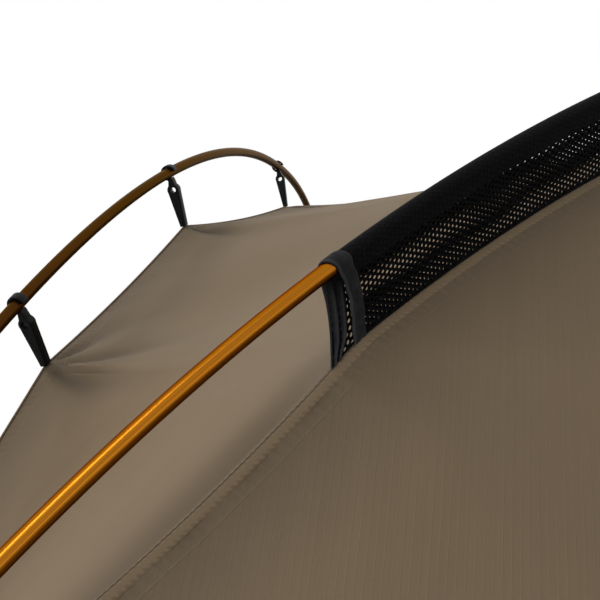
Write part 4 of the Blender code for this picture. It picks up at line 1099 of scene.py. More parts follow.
def roof_place(s, across):
    """A place on the roof's front right half. across runs from 0 at the ridge to 1 at the hoop's ridge."""
    s, across = np.broadcast_arrays(s, across)
    share = np.clip((s - SEAM_BASE) / (SEAM_TOP - SEAM_BASE), 0, 1)
    bow = ROOF_SAG * np.sin(math.pi * share / 2) * 4 * across * (1 - across)
    a = across[..., None]
    hoop = HOOP_SEAM.at(np.interp(s, *MATCH))
    return (1 - a) * SEAM.at(s) + a * hoop + bow[..., None] * RIDGE_LINE.inward(s)


def seam_marks(grid, s, line):
    """Each point's distance from a seam beside the same row, and its distance along that seam."""
    seam = line.at(s)
    tangent = unit(line.at(s + TANGENT_REACH) - line.at(s - TANGENT_REACH))
    apart = grid - seam[:, None]
    ahead = np.einsum("ijk,ik->ij", apart, tangent)
    edge = np.linalg.norm(apart - ahead[..., None] * tangent[:, None], axis=-1)
    return edge, s[:, None] + ahead


def nearest(first, second):
    """Edge and run marks of whichever of two seams is nearer."""
    closer = first[0] < second[0]
    return np.where(closer, first[0], second[0]), np.where(closer, first[1], second[1])


def undulation(u, v, height):
    """Slack in stretched cloth, as a smooth height over its two distances."""
    return height * sum(
        share * np.sin(across * u + up * v + start) for share, across, up, start in SLACK_WAVES
    )


def panel_slack(u, v, height, edge, run):
    """A panel's slack between its seams, and the small scallops that its stitches draw along them."""
    free = fade(edge, 0.004, SLACK_REACH) * fade(v - SEAM_BASE, 0, 0.3)
    free = free * fade(2 * SEAM_TOP - SEAM_BASE - v, 0, 0.3)
    scallop = SCALLOP_DEPTH * np.sin(run * 2 * math.pi / SCALLOP_PITCH)
    scallop = scallop * np.exp(-edge / SCALLOP_REACH) * fade(edge, 0.002, 0.012)
    return undulation(u, v, height) * free + scallop


def pull_folds(grid, normals, anchor, inward):
    """Folds that fan out over the cloth from where a clip pulls at it, deep between low rises."""
    apart = grid - anchor
    distance = np.linalg.norm(apart, axis=-1)
    central = unit(inward - np.einsum("ijk,k->ij", normals, inward)[..., None] * normals)
    aside = np.cross(normals, central)
    turn = np.arctan2(np.einsum("ijk,ijk->ij", apart, aside), np.einsum("ijk,ijk->ij", apart, central))
    folds = sum(
        height * hump(turn, math.radians(angle), math.radians(width))
        for angle, width, height in CLIP_FOLDS
    )
    folds = np.where(folds > 0, FOLD_RISE * folds, folds)
    share = distance / FOLD_REACH
    return FOLD_DEPTH * folds * share * np.exp(1 - share) * fade(distance, 0.003, 0.014)


def close_spacing(first, middle, count, ratio):
    """Positions from a first one to as far past the middle, closer together towards both ends."""
    t = np.linspace(-1, 1, count)
    eased = np.sign(t) * (1 - (1 - np.abs(t)) ** ratio)
    return first + (middle - first) * (eased + 1)


def roof_rows():
    """Stations of the roof's rows, closer together beside the hoop's clips."""
    rows = [np.linspace(SEAM_BASE, SEAM_TOP, PANEL_ROWS * 2 // 3)]
    for station in HOOP_ANCHORS[1:6]:
        beside = np.linspace(station - CLIP_ROWS_REACH, station + CLIP_ROWS_REACH, CLIP_ROWS)
        rows.append(np.interp(beside, MATCH[1], MATCH[0]))
    merged = np.sort(np.concatenate(rows))
    return merged[np.concatenate([[True], np.diff(merged) > CLOSEST_ROWS])]


def valley(s, from_ridge):
    """The valley in the roof beside its ridge seam, below the sleeve's mouth: its depth and its shade."""
    below = np.clip(SLEEVE_MOUTH - s, 0, None)
    centre = VALLEY_CENTRE + VALLEY_DRIFT * below
    share = hump(from_ridge, centre, VALLEY_WIDTH + VALLEY_WIDENING * below)
    present = fade(below, 0.0, 0.06) * fade(s, 1.0, 1.45)
    # The shadow is painted shade, for the cloth's colour only.
    shadow = np.where(from_ridge < centre, VALLEY_SHADE + (1 - VALLEY_SHADE) * share, share)
    return share * present * fade(from_ridge, 0.0, 0.012), shadow * present


def panel_piece(name, grid, normals, turn, chart, marks):
    """A stretched panel from the grid of the front or right one, turned or mirrored to its own place.

    Its widest row and its shortest column give the cut's flat size.
    """
    mesh = cloth_mesh(name, grid * turn, normals * turn, FABRIC, chart, marks)
    obj = piece(f"{name}_cloth", mesh, CLOTH, nodes=[name])
    along = float(np.linalg.norm(np.diff(grid, axis=0), axis=-1).sum(0).min())
    across = float(np.linalg.norm(np.diff(grid, axis=1), axis=-1).sum(1).max())
    area = min(area_of(grid), across * along)


def make_side_wall(name, side):
    """A side wall, drawn in a little between its two ridges."""
    s = np.linspace(SEAM_BASE, SEAM_TOP, PANEL_ROWS)
    across = close_spacing(-1.0, 0.0, PANEL_COLUMNS, 2.0)
    grid = side_wall_place(s[:, None], across[None])
    grid[0, :, 2] = TUB_HEIGHT + SEAM_GAP
    front = seam_marks(grid, s, SEAM)
    back = seam_marks(grid * np.array([1.0, -1.0, 1.0]), s, SEAM)
    edge, run = nearest(front, back)
    normals = outward_normals(grid, np.array([0.0, 0.0, 0.5]))
    u, v = grid[..., 1], np.broadcast_to(s[:, None], edge.shape)
    lift = panel_slack(u, v, SIDE_WALL_SLACK, edge, run)
    grid = grid + lift[..., None] * normals
    grid[:, 0, 1] += SEAM_GAP
    grid[:, -1, 1] -= SEAM_GAP
    panel_piece(name, grid, normals, np.array([side, 1.0, 1.0]), chart_of(u, v), {"edge": edge, "run": run})


def make_roof_panel(name, turn):
    """The panel from a hoop back to the two ridges that meet at the crown."""
    s = roof_rows()
    across = close_spacing(0.0, 0.5, PANEL_COLUMNS, 1.7)
    half = roof_place(s[:, None], across[None])
    half[0, :, 2] = TUB_HEIGHT + SEAM_GAP
    half[-1, :, 0] = 0
    beside_ridge = seam_marks(half, s, SEAM)
    edge, run = nearest(beside_ridge, seam_marks(half, np.interp(s, *MATCH), HOOP_SEAM))
    dip, shade = valley(s[:, None], beside_ridge[0])
    width = np.linalg.norm(half[:, -1] - half[:, 0], axis=-1)
    u, v = across[None] * width[:, None], np.broadcast_to(s[:, None], edge.shape)
    grid = np.concatenate([half, half[-2::-1] * MIRROR])
    v = np.concatenate([v, 2 * SEAM_TOP - v[-2::-1]])
    right_half = (u, edge, run, dip, shade)
    u, edge, run, dip, shade = (np.concatenate([values, values[-2::-1]]) for values in right_half)
    normals = outward_normals(grid, np.array([0.0, 0.0, 0.3]))
    lift = panel_slack(u, v, ROOF_SLACK, edge, run) - VALLEY_DEPTH * dip
    for station in HOOP_ANCHORS[1:-1]:
        inward = HOOP.inward(station) + np.array([0.0, FOLD_BACKWARD, 0.0])
        folds = pull_folds(grid, normals, HOOP_SEAM.at(station), inward) * fade(edge, 0.0005, 0.006)
        lift = lift + folds
        # Painted shade: the clips' folds also darken the cloth's colour, deepest in their troughs.
        shade = np.maximum(shade, np.clip(-folds / FOLD_SHADE_DEPTH, 0, 1))
    grid = grid + lift[..., None] * normals
    # The valley mark holds painted shade only, from the valley and the clips' folds.
    marks = {"edge": edge, "run": run, "valley": shade}
    panel_piece(name, grid, normals, turn, chart_of(u, v), marks)


def frame_of(origin, x_axis, y_axis):
    """A frame from its origin and its first two axes."""
    x, y = Vector(x_axis).normalized(), Vector(y_axis).normalized()
    return Matrix.Translation(Vector(origin)) @ Matrix((x, y, x.cross(y))).transposed().to_4x4()


def through(matrix, points):
    """An array of places moved by a matrix."""
    turned = np.array(matrix.to_3x3())
    return np.asarray(points) @ turned.T + np.array(matrix.translation)


def arc(centre, radius, start, end, steps):
    turns = np.linspace(start, end, steps + 1)
    return [(centre[0] + radius * math.cos(t), centre[1] + radius * math.sin(t)) for t in turns]


def circle(centre, radius, sides):
    """The corners of a round outline, without a second one where it closes."""
    return arc(centre, radius, 0, 2 * math.pi, sides)[:-1]


def square(half):
    return [(-half, -half), (half, -half), (half, half), (-half, half)]


def closed(outline):
    """An outline with its first corner again at its end."""
    return outline + outline[:1]


def plate_mesh(name, outlines, low, high, matrix, bevel=0.0):
    """A plate between two heights of its own frame, with round edges: an outline, then its holes."""
    curve = bpy.data.curves.new(name, "CURVE")
    curve.dimensions = "2D"
    curve.fill_mode = "BOTH"
    curve.extrude = (high - low) / 2 - bevel
    curve.bevel_depth = bevel
    curve.bevel_resolution = 2
    curve.offset = -bevel
    for outline in outlines:
        spline = curve.splines.new("POLY")
        spline.points.add(len(outline) - 1)
        for point, (x, y) in zip(spline.points, outline):
            point.co = (x, y, 0, 1)
        spline.use_cyclic_u = True
    shape = bmesh.new()
    shape.from_mesh(plain_mesh(placed(name, curve)))
    bmesh.ops.remove_doubles(shape, verts=shape.verts, dist=1e-6)
    turn_outwards(shape)
    layer = shape.loops.layers.uv.verify()
    for face in shape.faces:
        for loop in face.loops:
            loop[layer].uv = loop.vert.co.xy
    shape.transform(matrix @ Matrix.Translation((0, 0, (low + high) / 2)))
    result = bpy.data.meshes.new(name)
    shape.to_mesh(result)
    shape.free()
    result.shade_smooth()
    result.set_sharp_from_angle(angle=math.radians(30))
    return result


def bead_tree(finish):
    """Geometry nodes that set small beads along a path, each turned along it and laid on its facing."""
    tree = bpy.data.node_groups.new("beads_along_a_path", "GeometryNodeTree")
    tree.interface.new_socket(name="Path", in_out="INPUT", socket_type="NodeSocketGeometry")
    tree.interface.new_socket(name="Pitch", in_out="INPUT", socket_type="NodeSocketFloat")
    tree.interface.new_socket(name="Half sizes", in_out="INPUT", socket_type="NodeSocketVector")
    tree.interface.new_socket(name="Beads", in_out="OUTPUT", socket_type="NodeSocketGeometry")
    graph = Graph(tree)
    path = graph.add("NodeGroupInput")
    curve = graph.add("GeometryNodeMeshToCurve", {}, {"Mesh": path})
    sockets = {"Curve": curve, "Length": path.output("Pitch")}
    points = graph.add("GeometryNodeResampleCurve", {"mode": "LENGTH"}, sockets)
    tangent = graph.add("GeometryNodeInputTangent")
    facing = graph.add("GeometryNodeInputNamedAttribute", {"data_type": "FLOAT_VECTOR"}, {"Name": "facing"})
    along = graph.add("FunctionNodeAlignRotationToVector", {"axis": "X"}, {"Vector": tangent})
    settings = {"axis": "Z", "pivot_axis": "X"}
    laid = graph.add("FunctionNodeAlignRotationToVector", settings, {"Rotation": along, "Vector": facing})
    sockets = {"Segments": BEAD_SEGMENTS, "Rings": BEAD_RINGS, "Radius": 1.0}
    bead = graph.add("GeometryNodeMeshUVSphere", {}, sockets)
    sockets = {"Points": points, "Instance": bead, "Rotation": laid, "Scale": path.output("Half sizes")}
    instances = graph.add("GeometryNodeInstanceOnPoints", {}, sockets)
    real = graph.add("GeometryNodeRealizeInstances", {}, {"Geometry": instances})
    smooth = graph.add("GeometryNodeSetShadeSmooth", {}, {"Geometry": real})
    finished = graph.add("GeometryNodeSetMaterial", {}, {"Geometry": smooth, "Material": finish.material})
    graph.add("NodeGroupOutput", {}, {"Beads": finished})
    return tree


def beads(name, paths, pitch, half_sizes, finish, body="tent"):
    """Stitches or teeth along several paths, each an array of places and one of outward directions."""
    places = np.concatenate([path for path, _ in paths])
    facing = np.concatenate([out for _, out in paths])
    edges, first = [], 0
    for path, _ in paths:
        edges += [(first + k, first + k + 1) for k in range(len(path) - 1)]
        first += len(path)
    mesh = bpy.data.meshes.new(name)
    mesh.from_pydata(places.tolist(), edges, [])
    mesh.attributes.new("facing", "FLOAT_VECTOR", "POINT").data.foreach_set("vector", facing.ravel())
    helper = placed(name + "_path", mesh)
    tree = bead_tree(finish)
    modifier = helper.modifiers.new("beads", "NODES")
    modifier.node_group = tree
    sizes = {"Pitch": pitch, "Half sizes": half_sizes}
    for item in tree.interface.items_tree:
        if item.name in sizes:
            modifier[item.identifier] = sizes[item.name]
    made = plain_mesh(helper)
    bpy.data.node_groups.remove(tree)
    return piece(name, made, finish, body)


def beside_seam(place_at, start, s, edge):
    """Places on a panel at a distance from its ridge seam, with the outward normal there."""
    step = 0.01
    line, ahead = place_at(s, start), place_at(s + step, start)
    across = place_at(s, start + step) - line
    tangent = unit(ahead - line)
    width = np.linalg.norm(np.cross(tangent, across), axis=-1)
    share = start + edge * step / width
    return place_at(s, share), panel_normal(tangent, across, -RIDGE_LINE.inward(s))


def seam_strip(name, place_at, start, turn, finish):
    """The folded strip sewn beside a ridge seam, with a row of stitches near each of its edges."""
    s = np.arange(SEAM_BASE + 0.004, SEAM_TOP, STRIP_STEP)
    rings = []
    for edge, height in STRIP_SECTION:
        place, normal = beside_seam(place_at, start, s, edge)
        ripple = 0.00006 * np.sin(s * 2 * math.pi / 0.0085 + 2.5 * np.sin(s * 57) + edge * 300)
        ripple = ripple * (height > 0.0003)
        rings.append(place + (height + ripple)[:, None] * normal)
    rings = np.stack(rings, 1)
    edges = np.array([edge for edge, _ in STRIP_SECTION]) - STRIP_EDGE / 2
    chart = chart_of(edges[None], s[:, None])
    strip = piece(f"{name}_strip", skin_mesh(name, rings * turn, chart, sharp=50), finish)
    paths = []
    for edge in STRIP_STITCH_ROWS:
        place, normal = beside_seam(place_at, start, s, edge)
        paths.append(((place + STRIP_STITCH_LIFT * normal) * turn, normal * turn))
    beads(f"{name}_stitches", paths, STITCH_PITCH, SEAM_STITCH, THREAD)


def make_seam_strips():
    for corner, _, side, end in CORNERS:
        turn = np.array([side, -end, 1.0])
        seam_strip(f"{corner}_wall_seam", side_wall_place, -1.0, turn, STRIP)
        # The roof-side strips take the darker copy of the finish, as painted shade.
        seam_strip(f"{corner}_roof_seam", roof_place, 0.0, turn, SHADED_STRIP)


def make_hoop_seams():
    """A piped seam along each hoop's fabric ridge."""
    s = np.arange(HOOP_SEAM_BASE, HOOP.length - HOOP_SEAM_BASE, PIPING_STEP)
    line, inward = HOOP_SEAM.at(s), HOOP.inward(s)
    turns = np.arange(PIPING_SIDES) * 2 * math.pi / PIPING_SIDES
    centre = line - 0.0004 * inward
    rings = centre[:, None] + PIPING_RADIUS * (
        np.cos(turns)[None, :, None] * inward[:, None] + np.sin(turns)[None, :, None] * HOOP.side
    )
    girth = 2 * math.pi * PIPING_RADIUS
    chart = chart_of(turns[None] * PIPING_RADIUS, s[:, None])
    for end, turn in (("front", np.ones(3)), ("rear", REAR_TURN)):
        piece(f"{end}_hoop_piping", skin_mesh(end, rings * turn, chart, girth=girth), STRIP)


def clip_outline(reach):
    """A clip seen along its pole: a hook with its mouth on one side, an eye below and a tapered stem."""
    inner = POLE_RADIUS + CLIP_CLEARANCE
    outer = inner + CLIP_WALL
    hook = arc((0, 0), outer, CLIP_NECK, 2 * math.pi + CLIP_MOUTH_END, CLIP_STEPS)
    throat = arc((0, 0), inner, 2 * math.pi + CLIP_MOUTH_END, CLIP_MOUTH_START, CLIP_STEPS)
    centre, (near_turn, far_turn) = (CLIP_EYE_REACH, 0), CLIP_EYE_TURNS
    ring_left = arc(centre, CLIP_EYE_RADIUS, -far_turn, -near_turn, 9)
    ring_right = arc(centre, CLIP_EYE_RADIUS, near_turn, far_turn, 9)
    half = CLIP_TIP_HALF_WIDTH
    stem = [(reach, -half), (reach, half)]
    eye = circle(centre, CLIP_HOLE_RADIUS, 18)
    lip = [(outer * math.cos(CLIP_MOUTH_START), outer * math.sin(CLIP_MOUTH_START))]
    return [[*hook, *throat, *lip, *ring_left, *stem, *ring_right], eye]


def clip_mesh(name, pole, seam, along, tip_gap, turn):
    """A moulded clip from a place on a pole to the fabric ridge."""
    to_seam = seam - pole
    down = unit(to_seam - np.dot(to_seam, along) * along)
    reach = float(np.linalg.norm(to_seam)) - tip_gap
    matrix = turn @ frame_of(pole, down, np.cross(along, down))
    half = CLIP_WIDTH / 2
    return plate_mesh(name, clip_outline(reach), -half, half, matrix, CLIP_BEVEL)


def make_front_clips():
    """The five clips high on the front hoop, each of which rocks on its pole."""
    names = ("right_low", "right_high", "top", "left_high", "left_low")
    for name, s in zip(names, HOOP_ANCHORS[3:8]):
        mesh = clip_mesh(name, HOOP.at(s), HOOP_SEAM.at(s), HOOP.tangent(s), CLIP_TIP_GAP, Matrix())
        piece(f"hoop_clip_{name}_hook", mesh, PLASTIC, f"hoop_clip_{name}", [f"hoop_clip_{name}"])


def panel_normal(tangent, into_panel, outward):
    """A panel's normal beside its ridge, on the side that an outward direction points to."""
    normal = unit(np.cross(tangent, into_panel))
    return normal * np.sign(np.sum(normal * outward, axis=-1, keepdims=True))


def hoop_outward(s):
    """The direction midway between the front wall's normal and the roof's, at the hoop's fabric ridge."""
    near = np.minimum(s, HOOP.length - s)
    back = SEAM.at(np.interp(near, HOOP_STATIONS, RIDGE_STATIONS))
    roof = panel_normal(HOOP.tangent(near), back - HOOP_SEAM.at(near), -HOOP.inward(near))
    outward = unit(roof + np.array(FRONT_WALL.col[2][:3]))
    return np.where(np.equal(s, near)[..., None], outward, outward * MIRROR)


def ridge_outward(s):
    """The direction midway between the side wall's normal and the roof's, at the right front ridge."""
    tangent, outward = RIDGE_LINE.tangent(s), -RIDGE_LINE.inward(s)
    ahead = HOOP_SEAM.at(np.interp(s, RIDGE_STATIONS, HOOP_STATIONS)) - SEAM.at(s)
    aside = np.broadcast_to(np.array([0.0, 1.0, 0.0]), tangent.shape)
    return unit(panel_normal(tangent, ahead, outward) + panel_normal(tangent, aside, outward))


def clip_row(name, arch, seam_at, outward_at, clips, turn):
    """Clips moulded on one ribbed strip that is sewn along a fabric ridge."""
    s = np.arange(clips[0] - ROW_TAPE_END, clips[-1] + ROW_TAPE_END, ROW_TAPE_STEP)
    place, outward = seam_at(s), outward_at(s)
    width = unit(np.cross(outward, arch.tangent(s)))
    middle = (ROW_TAPE_LOW + ROW_TAPE_HIGH) / 2
    half = ROW_TAPE_HALF_WIDTH
    section = np.array([
        (-0.85 * half, ROW_TAPE_LOW),
        (-half, middle),
        (-0.85 * half, ROW_TAPE_HIGH),
        (-0.2 * half, ROW_TAPE_HIGH),
        (0.0, ROW_TAPE_HIGH + ROW_TAPE_RIB),
        (0.2 * half, ROW_TAPE_HIGH),
        (0.85 * half, ROW_TAPE_HIGH),
        (half, middle),
        (0.85 * half, ROW_TAPE_LOW),
    ])
    rings = place[:, None] + section[None, :, :1] * width[:, None] + section[None, :, 1:] * outward[:, None]
    chart = chart_of(section[None, :, 0], s[:, None])
    meshes = [skin_mesh("strip", through(turn, rings), chart)]
    for station in clips:
        pole, seam = arch.at(station), seam_at(station)
        upright = float(np.dot(unit(pole - seam), outward_at(station)))
        tip_gap = (ROW_TAPE_HIGH / 2 + CLIP_TIP_HALF_WIDTH * math.sqrt(1 - upright**2)) / upright
        meshes.append(clip_mesh("clip", pole, seam, arch.tangent(station), tip_gap, turn))
    piece(f"{name}_moulded", joined(name, meshes), PLASTIC, nodes=[name])


def make_clip_rows():
    """The clips that share a strip: the rear hoop's, the front hoop's lower ones and the ridge poles'."""
    half_turn = Matrix.Rotation(math.pi, 4, "Z")
    anchors = HOOP_ANCHORS[1:-1]
    for name, clips, turn in (
        ("rear_hoop_clips", anchors, half_turn),
        ("front_hoop_clips_right", anchors[:2], Matrix()),
        ("front_hoop_clips_left", anchors[-2:], Matrix()),
    ):
        clip_row(name, HOOP, HOOP_SEAM.at, hoop_outward, clips, turn)
    for corner, pole_name, _, end in CORNERS:
        arch = POLES[pole_name]
        stretch = arch.length / RIDGE_LINE.length
        mirror = np.array([1.0 if pole_name == "ridge_pole_a" else -1.0, 1.0, 1.0])

        def seam_at(s):
            return ridge_below(arch, s)

        def outward_at(s):
            return ridge_outward(s / stretch) * mirror

        clips = [s * stretch for s in LEG_CLIPS]
        clip_row(f"leg_clips_{corner}", arch, seam_at, outward_at, clips, half_turn if end > 0 else Matrix())


# The front wall's own frame: U to the right, V up the slope, W out of the tent
WALL_ORIGIN = Vector((0, -(RIDGE_FOOT_Y + HOOP_FORWARD), 0)) + Vector(HOOP.side) * HOOP_SEAM.shift
FRONT_WALL = frame_of(WALL_ORIGIN, (1, 0, 0), (0, HOOP_LEAN, HOOP_HEIGHT))
REAR_WALL = Matrix.Rotation(math.pi, 4, "Z") @ FRONT_WALL
WALL_CENTRE = np.array([0.0, 0.78])


def wall_outline():
    """The front wall's edge, just inside the hoop's fabric ridge, with a level foot on the tub."""
    s = np.linspace(HOOP_SEAM_BASE, HOOP_MIDDLE, 90)
    places = HOOP_SEAM.at(s) + WALL_INSET * HOOP.inward(s)
    half = through(FRONT_WALL.inverted(), places)[:, :2]
    half[0, 1] = (TUB_HEIGHT + WALL_FOOT_GAP - WALL_ORIGIN.z) / FRONT_WALL.col[1].z
    return np.concatenate([half, half[-2::-1] * (-1, 1)])


def door_path(offset, start=0.0):
    """The zip's line round the door, moved outwards: along the sill, up the right side and over the arch."""
    corner = (DOOR_HALF_WIDTH - DOOR_CORNER, DOOR_SILL + DOOR_CORNER)
    path = [(start - DOOR_HALF_WIDTH, DOOR_SILL - offset)]
    path += arc(corner, DOOR_CORNER + offset, -math.pi / 2, 0, 12)
    last_turn = math.pi - ZIP_END_GAP / DOOR_HALF_WIDTH
    path += arc((0, DOOR_SPRING), DOOR_HALF_WIDTH + offset, 0, last_turn, 72)
    return path


def rays(outline, centre, angles):
    """Where rays from a centre meet an outline whose every corner that centre sees."""
    corners = np.subtract(outline, centre)
    turns = np.arctan2(corners[:, 1], corners[:, 0])
    order = np.argsort(turns)
    corners, turns = corners[order], turns[order]
    after = np.searchsorted(turns, angles) % len(corners)
    start = corners[after - 1]
    side = corners[after] - start
    away = np.stack([np.cos(angles), np.sin(angles)], 1)
    reach = start[:, 0] * side[:, 1] - start[:, 1] * side[:, 0]
    reach = reach / (away[:, 0] * side[:, 1] - away[:, 1] * side[:, 0])
    return centre + away * reach[:, None]


def ray_angles(outlines, centre, count=160):
    """Angles that pass through every corner of the outlines, with others between."""
    every = [np.linspace(-math.pi, math.pi, count, endpoint=False)]
    for outline in outlines:
        corners = np.subtract(outline, centre)
        every.append(np.arctan2(corners[:, 1], corners[:, 0]))
    merged = np.sort(np.concatenate(every))
    return merged[np.concatenate([[True], np.diff(merged) > 2e-4])]


def wall_sheet(
    name, outer, inner, matrix, finish, body, nodes,
    rings=26, slack=END_WALL_SLACK, low=0.0, centre=WALL_CENTRE,
):
    """A wall's cloth between two outlines, or out from its centre, with a little slack between its seams."""
    angles = ray_angles([outer] if inner is None else [outer, inner], centre)
    far = rays(outer, centre, angles)
    near = centre + 0.02 * (far - centre) if inner is None else rays(inner, centre, angles)
    share = np.linspace(0, 1, rings)[:, None, None]
    flat = (1 - share) * near[None] + share * far[None]
    width = np.linalg.norm(far - near, axis=-1)[None]
    from_edge = (1 - share[..., 0]) * width
    if inner is not None:
        from_edge = np.minimum(from_edge, share[..., 0] * width)
    lift = undulation(flat[..., 0] * 1.6, flat[..., 1] * 1.6, slack)
    lift = lift * fade(from_edge, 0.004, END_SLACK_REACH)
    grid = np.concatenate([flat, (low + lift)[..., None]], -1)
    outward = np.broadcast_to(np.array([0.0, 0.0, 1.0]), grid.shape)
    world = through(matrix, grid)
    turned = outward @ np.array(matrix.to_3x3()).T
    marks = {"edge": from_edge, "run": np.broadcast_to(angles[None] * 0.6, from_edge.shape)}
    mesh = cloth_mesh(name, world, turned, FABRIC, flat, marks, ring=True, capped=inner is None)
    obj = piece(name, mesh, finish, body, nodes)
    return obj, area_of(world, ring=True)


def outline_beads(name, outline, matrix, height, pitch, half_sizes, finish, body):
    """Stitches or teeth along an outline in a wall's frame."""
    flat = np.array(outline, float)
    path = through(matrix, np.concatenate([flat, np.full((len(flat), 1), height)], 1))
    facing = np.broadcast_to(np.array(matrix.col[2][:3]), path.shape)
    return beads(name, [(path, facing)], pitch, half_sizes, finish, body)


def stitch_line(name, outline, matrix, height, thread, body="tent"):
    """A row of plain stitches along an outline in a wall's frame."""
    outline_beads(name, outline, matrix, height, STITCH_PITCH, STITCH, thread, body)


def make_front():
    """The front wall, its door and the zip between them."""
    near, far = ZIP_SLIT / 2, ZIP_SLIT / 2 + ZIP_HALF
    hinge, to_tape = -DOOR_HALF_WIDTH, far + SEAM_GAP
    opening = [(hinge - SEAM_GAP, DOOR_SILL - to_tape), *door_path(to_tape)[1:]]
    opening += [(hinge - to_tape, DOOR_SPRING), (hinge - SEAM_GAP, DOOR_SPRING)]
    wall, area = wall_sheet(
        "front_wall_cloth", wall_outline(), opening, FRONT_WALL, CLOTH, "tent", ["front_wall"]
    )
    panel = [*door_path(-to_tape), (hinge + SEAM_GAP, DOOR_SPRING)]
    panel[0] = (hinge + SEAM_GAP, DOOR_SILL + to_tape)
    door, area = wall_sheet("door_cloth", panel, None, FRONT_WALL, CLOTH, "door", ["door"])
    for label, side, body in (("wall", 1, "tent"), ("door", -1, "door")):
        tape = door_path(side * near, ZIP_END_GAP)
        tape += reversed(door_path(side * far, ZIP_END_GAP))
        mesh = plate_mesh(label, [tape], *ZIP_TAPE_HEIGHTS, FRONT_WALL)
        piece(f"{label}_zip_tape", mesh, COIL, body, [f"{label}_zip_half"])
        teeth = door_path(side * (near + 0.0006), 0.004)
        outline_beads(f"{label}_zip_teeth", teeth, FRONT_WALL, -0.0006, TOOTH_PITCH, TOOTH, COIL, body)
        hem = door_path(side * (far + HEM_MARGIN), 0.006)
        stitch_line(f"{label}_hem_stitches", hem, FRONT_WALL, 0.0003, THREAD, body)


def rounded_box(half_width, low, high, radius, grow):
    """A rounded rectangle about the middle line, grown on every side."""
    right, bottom, top = half_width - radius, low + radius, high - radius
    corners = ((right, bottom, -0.5), (right, top, 0), (-right, top, 0.5), (-right, bottom, 1))
    outline = []
    for u, v, quarter_turns in corners:
        start = quarter_turns * math.pi
        outline += arc((u, v), radius + grow, start, start + math.pi / 2, 8)
    return outline


def window_outline(grow):
    return rounded_box(WINDOW_HALF_WIDTH, WINDOW_SILL, WINDOW_SILL + WINDOW_HEIGHT, WINDOW_CORNER, grow)


def make_rear():
    """The rear wall, its mesh window and the storm flap that hangs over it."""
    centre = np.array([0.0, WINDOW_SILL + WINDOW_HEIGHT / 2])
    wall, area = wall_sheet("rear_wall_cloth", wall_outline(), window_outline(0), REAR_WALL,
                            CLOTH, "tent", ["rear_wall"], centre=centre)
    net, area = wall_sheet("window_net", window_outline(-SEAM_GAP), None, REAR_WALL, NET, "tent",
                           ["window_mesh"], rings=10, slack=0.0, low=-0.0002, centre=centre)
    edge = window_outline(COVER_OVERLAP)
    flap, area = wall_sheet("window_flap_cloth", edge, None, REAR_WALL, CLOTH, "window_flap",
                            ["window_flap"], rings=16, slack=FLAP_SLACK, low=0.0024, centre=centre)
    inner_edge = window_outline(COVER_OVERLAP - FLAP_HEM_WIDTH)
    hem = plate_mesh("hem", [edge, inner_edge], *FLAP_HEM_HEIGHTS, REAR_WALL, 0.0004)
    hem_piece = piece("window_flap_hem", hem, BINDING, "window_flap")
    hem_line = closed(window_outline(COVER_OVERLAP - FLAP_HEM_WIDTH + 0.003))
    stitch_line("window_flap_stitches", hem_line, REAR_WALL, 0.0035, DARK_THREAD, "window_flap")
    stitch_line("window_stitches", closed(window_outline(0.006)), REAR_WALL, 0.0002, THREAD)


def make_groundsheet():
    """The tub floor: a creased sheet with its sides turned up to meet the walls."""
    outlines = []
    for ridge_station, hoop_station in ((0.0, 0.0), (SEAM_BASE, HOOP_SEAM_BASE)):
        ridge, hoop = SEAM.at(ridge_station), HOOP_SEAM.at(hoop_station)
        front = np.stack([ridge * MIRROR, hoop * MIRROR, hoop, ridge])[:, :2]
        outlines.append(np.concatenate([front, -front]))
    low, high = outlines
    angles = ray_angles(outlines, np.zeros(2), 220)
    low_ring, high_ring = rays(low, np.zeros(2), angles), rays(high, np.zeros(2), angles)
    rings = []
    for share in np.linspace(0.02, 0.985, FLOOR_RINGS):
        flat = low_ring * share
        crease = FLOOR_CREASE * np.abs(np.sin(flat[:, 0] * 5.2)) * np.abs(np.sin(flat[:, 1] * 6.1))
        ripple = FLOOR_RIPPLE * (1 + np.sin(flat[:, 0] * 23 + flat[:, 1] * 9) * np.sin(flat[:, 1] * 17))
        height = FLOOR_LEVEL + (crease + ripple) * (1 - share**8)
        rings.append(np.concatenate([flat, height[:, None]], 1))
    for share in np.linspace(0, 1, TUB_RINGS):
        flat = (1 - share) * low_ring * 0.9985 + share * high_ring
        height = FLOOR_LEVEL + share * (TUB_HEIGHT - FLOOR_LEVEL)
        pleat = TUB_PLEAT * np.sin(angles * 140) * np.sin(math.pi * share)
        rings.append(np.concatenate([flat * (1 + pleat[:, None]), np.full((len(flat), 1), height)], 1))
    grid = np.stack(rings)
    upward = np.broadcast_to(np.array([0.0, 0.0, 1.0]), grid.shape)
    inward = -unit(np.concatenate([grid[..., :2], np.zeros((*grid.shape[:2], 1))], -1))
    turned = fade(np.arange(len(rings)), FLOOR_RINGS - 2, FLOOR_RINGS + 1)[:, None, None]
    outward = unit((1 - turned) * upward + turned * inward)
    mesh = cloth_mesh("groundsheet_cloth", grid, outward, FABRIC, grid[..., :2], ring=True, capped=True)
    sheet = piece("groundsheet_cloth", mesh, FLOOR_CLOTH, nodes=["groundsheet"])
    area_of(grid, ring=True)


def make_crown_patch():
    """A square of tape where the ridges meet, stitched round its edge."""
    half = CROWN_PATCH_HALF
    low = float(SEAM.at(RIDGE_MIDDLE)[2]) + 0.0005
    high = low + CROWN_PATCH_THICKNESS
    mesh = plate_mesh("crown", [square(half)], low, high, Matrix(), 0.0004)
    obj = piece("crown_patch_tape", mesh, BINDING, nodes=["crown_patch"])
    stitch_line("crown_patch_stitches", closed(square(half - 0.005)), Matrix(), high + 0.0002, DARK_THREAD)


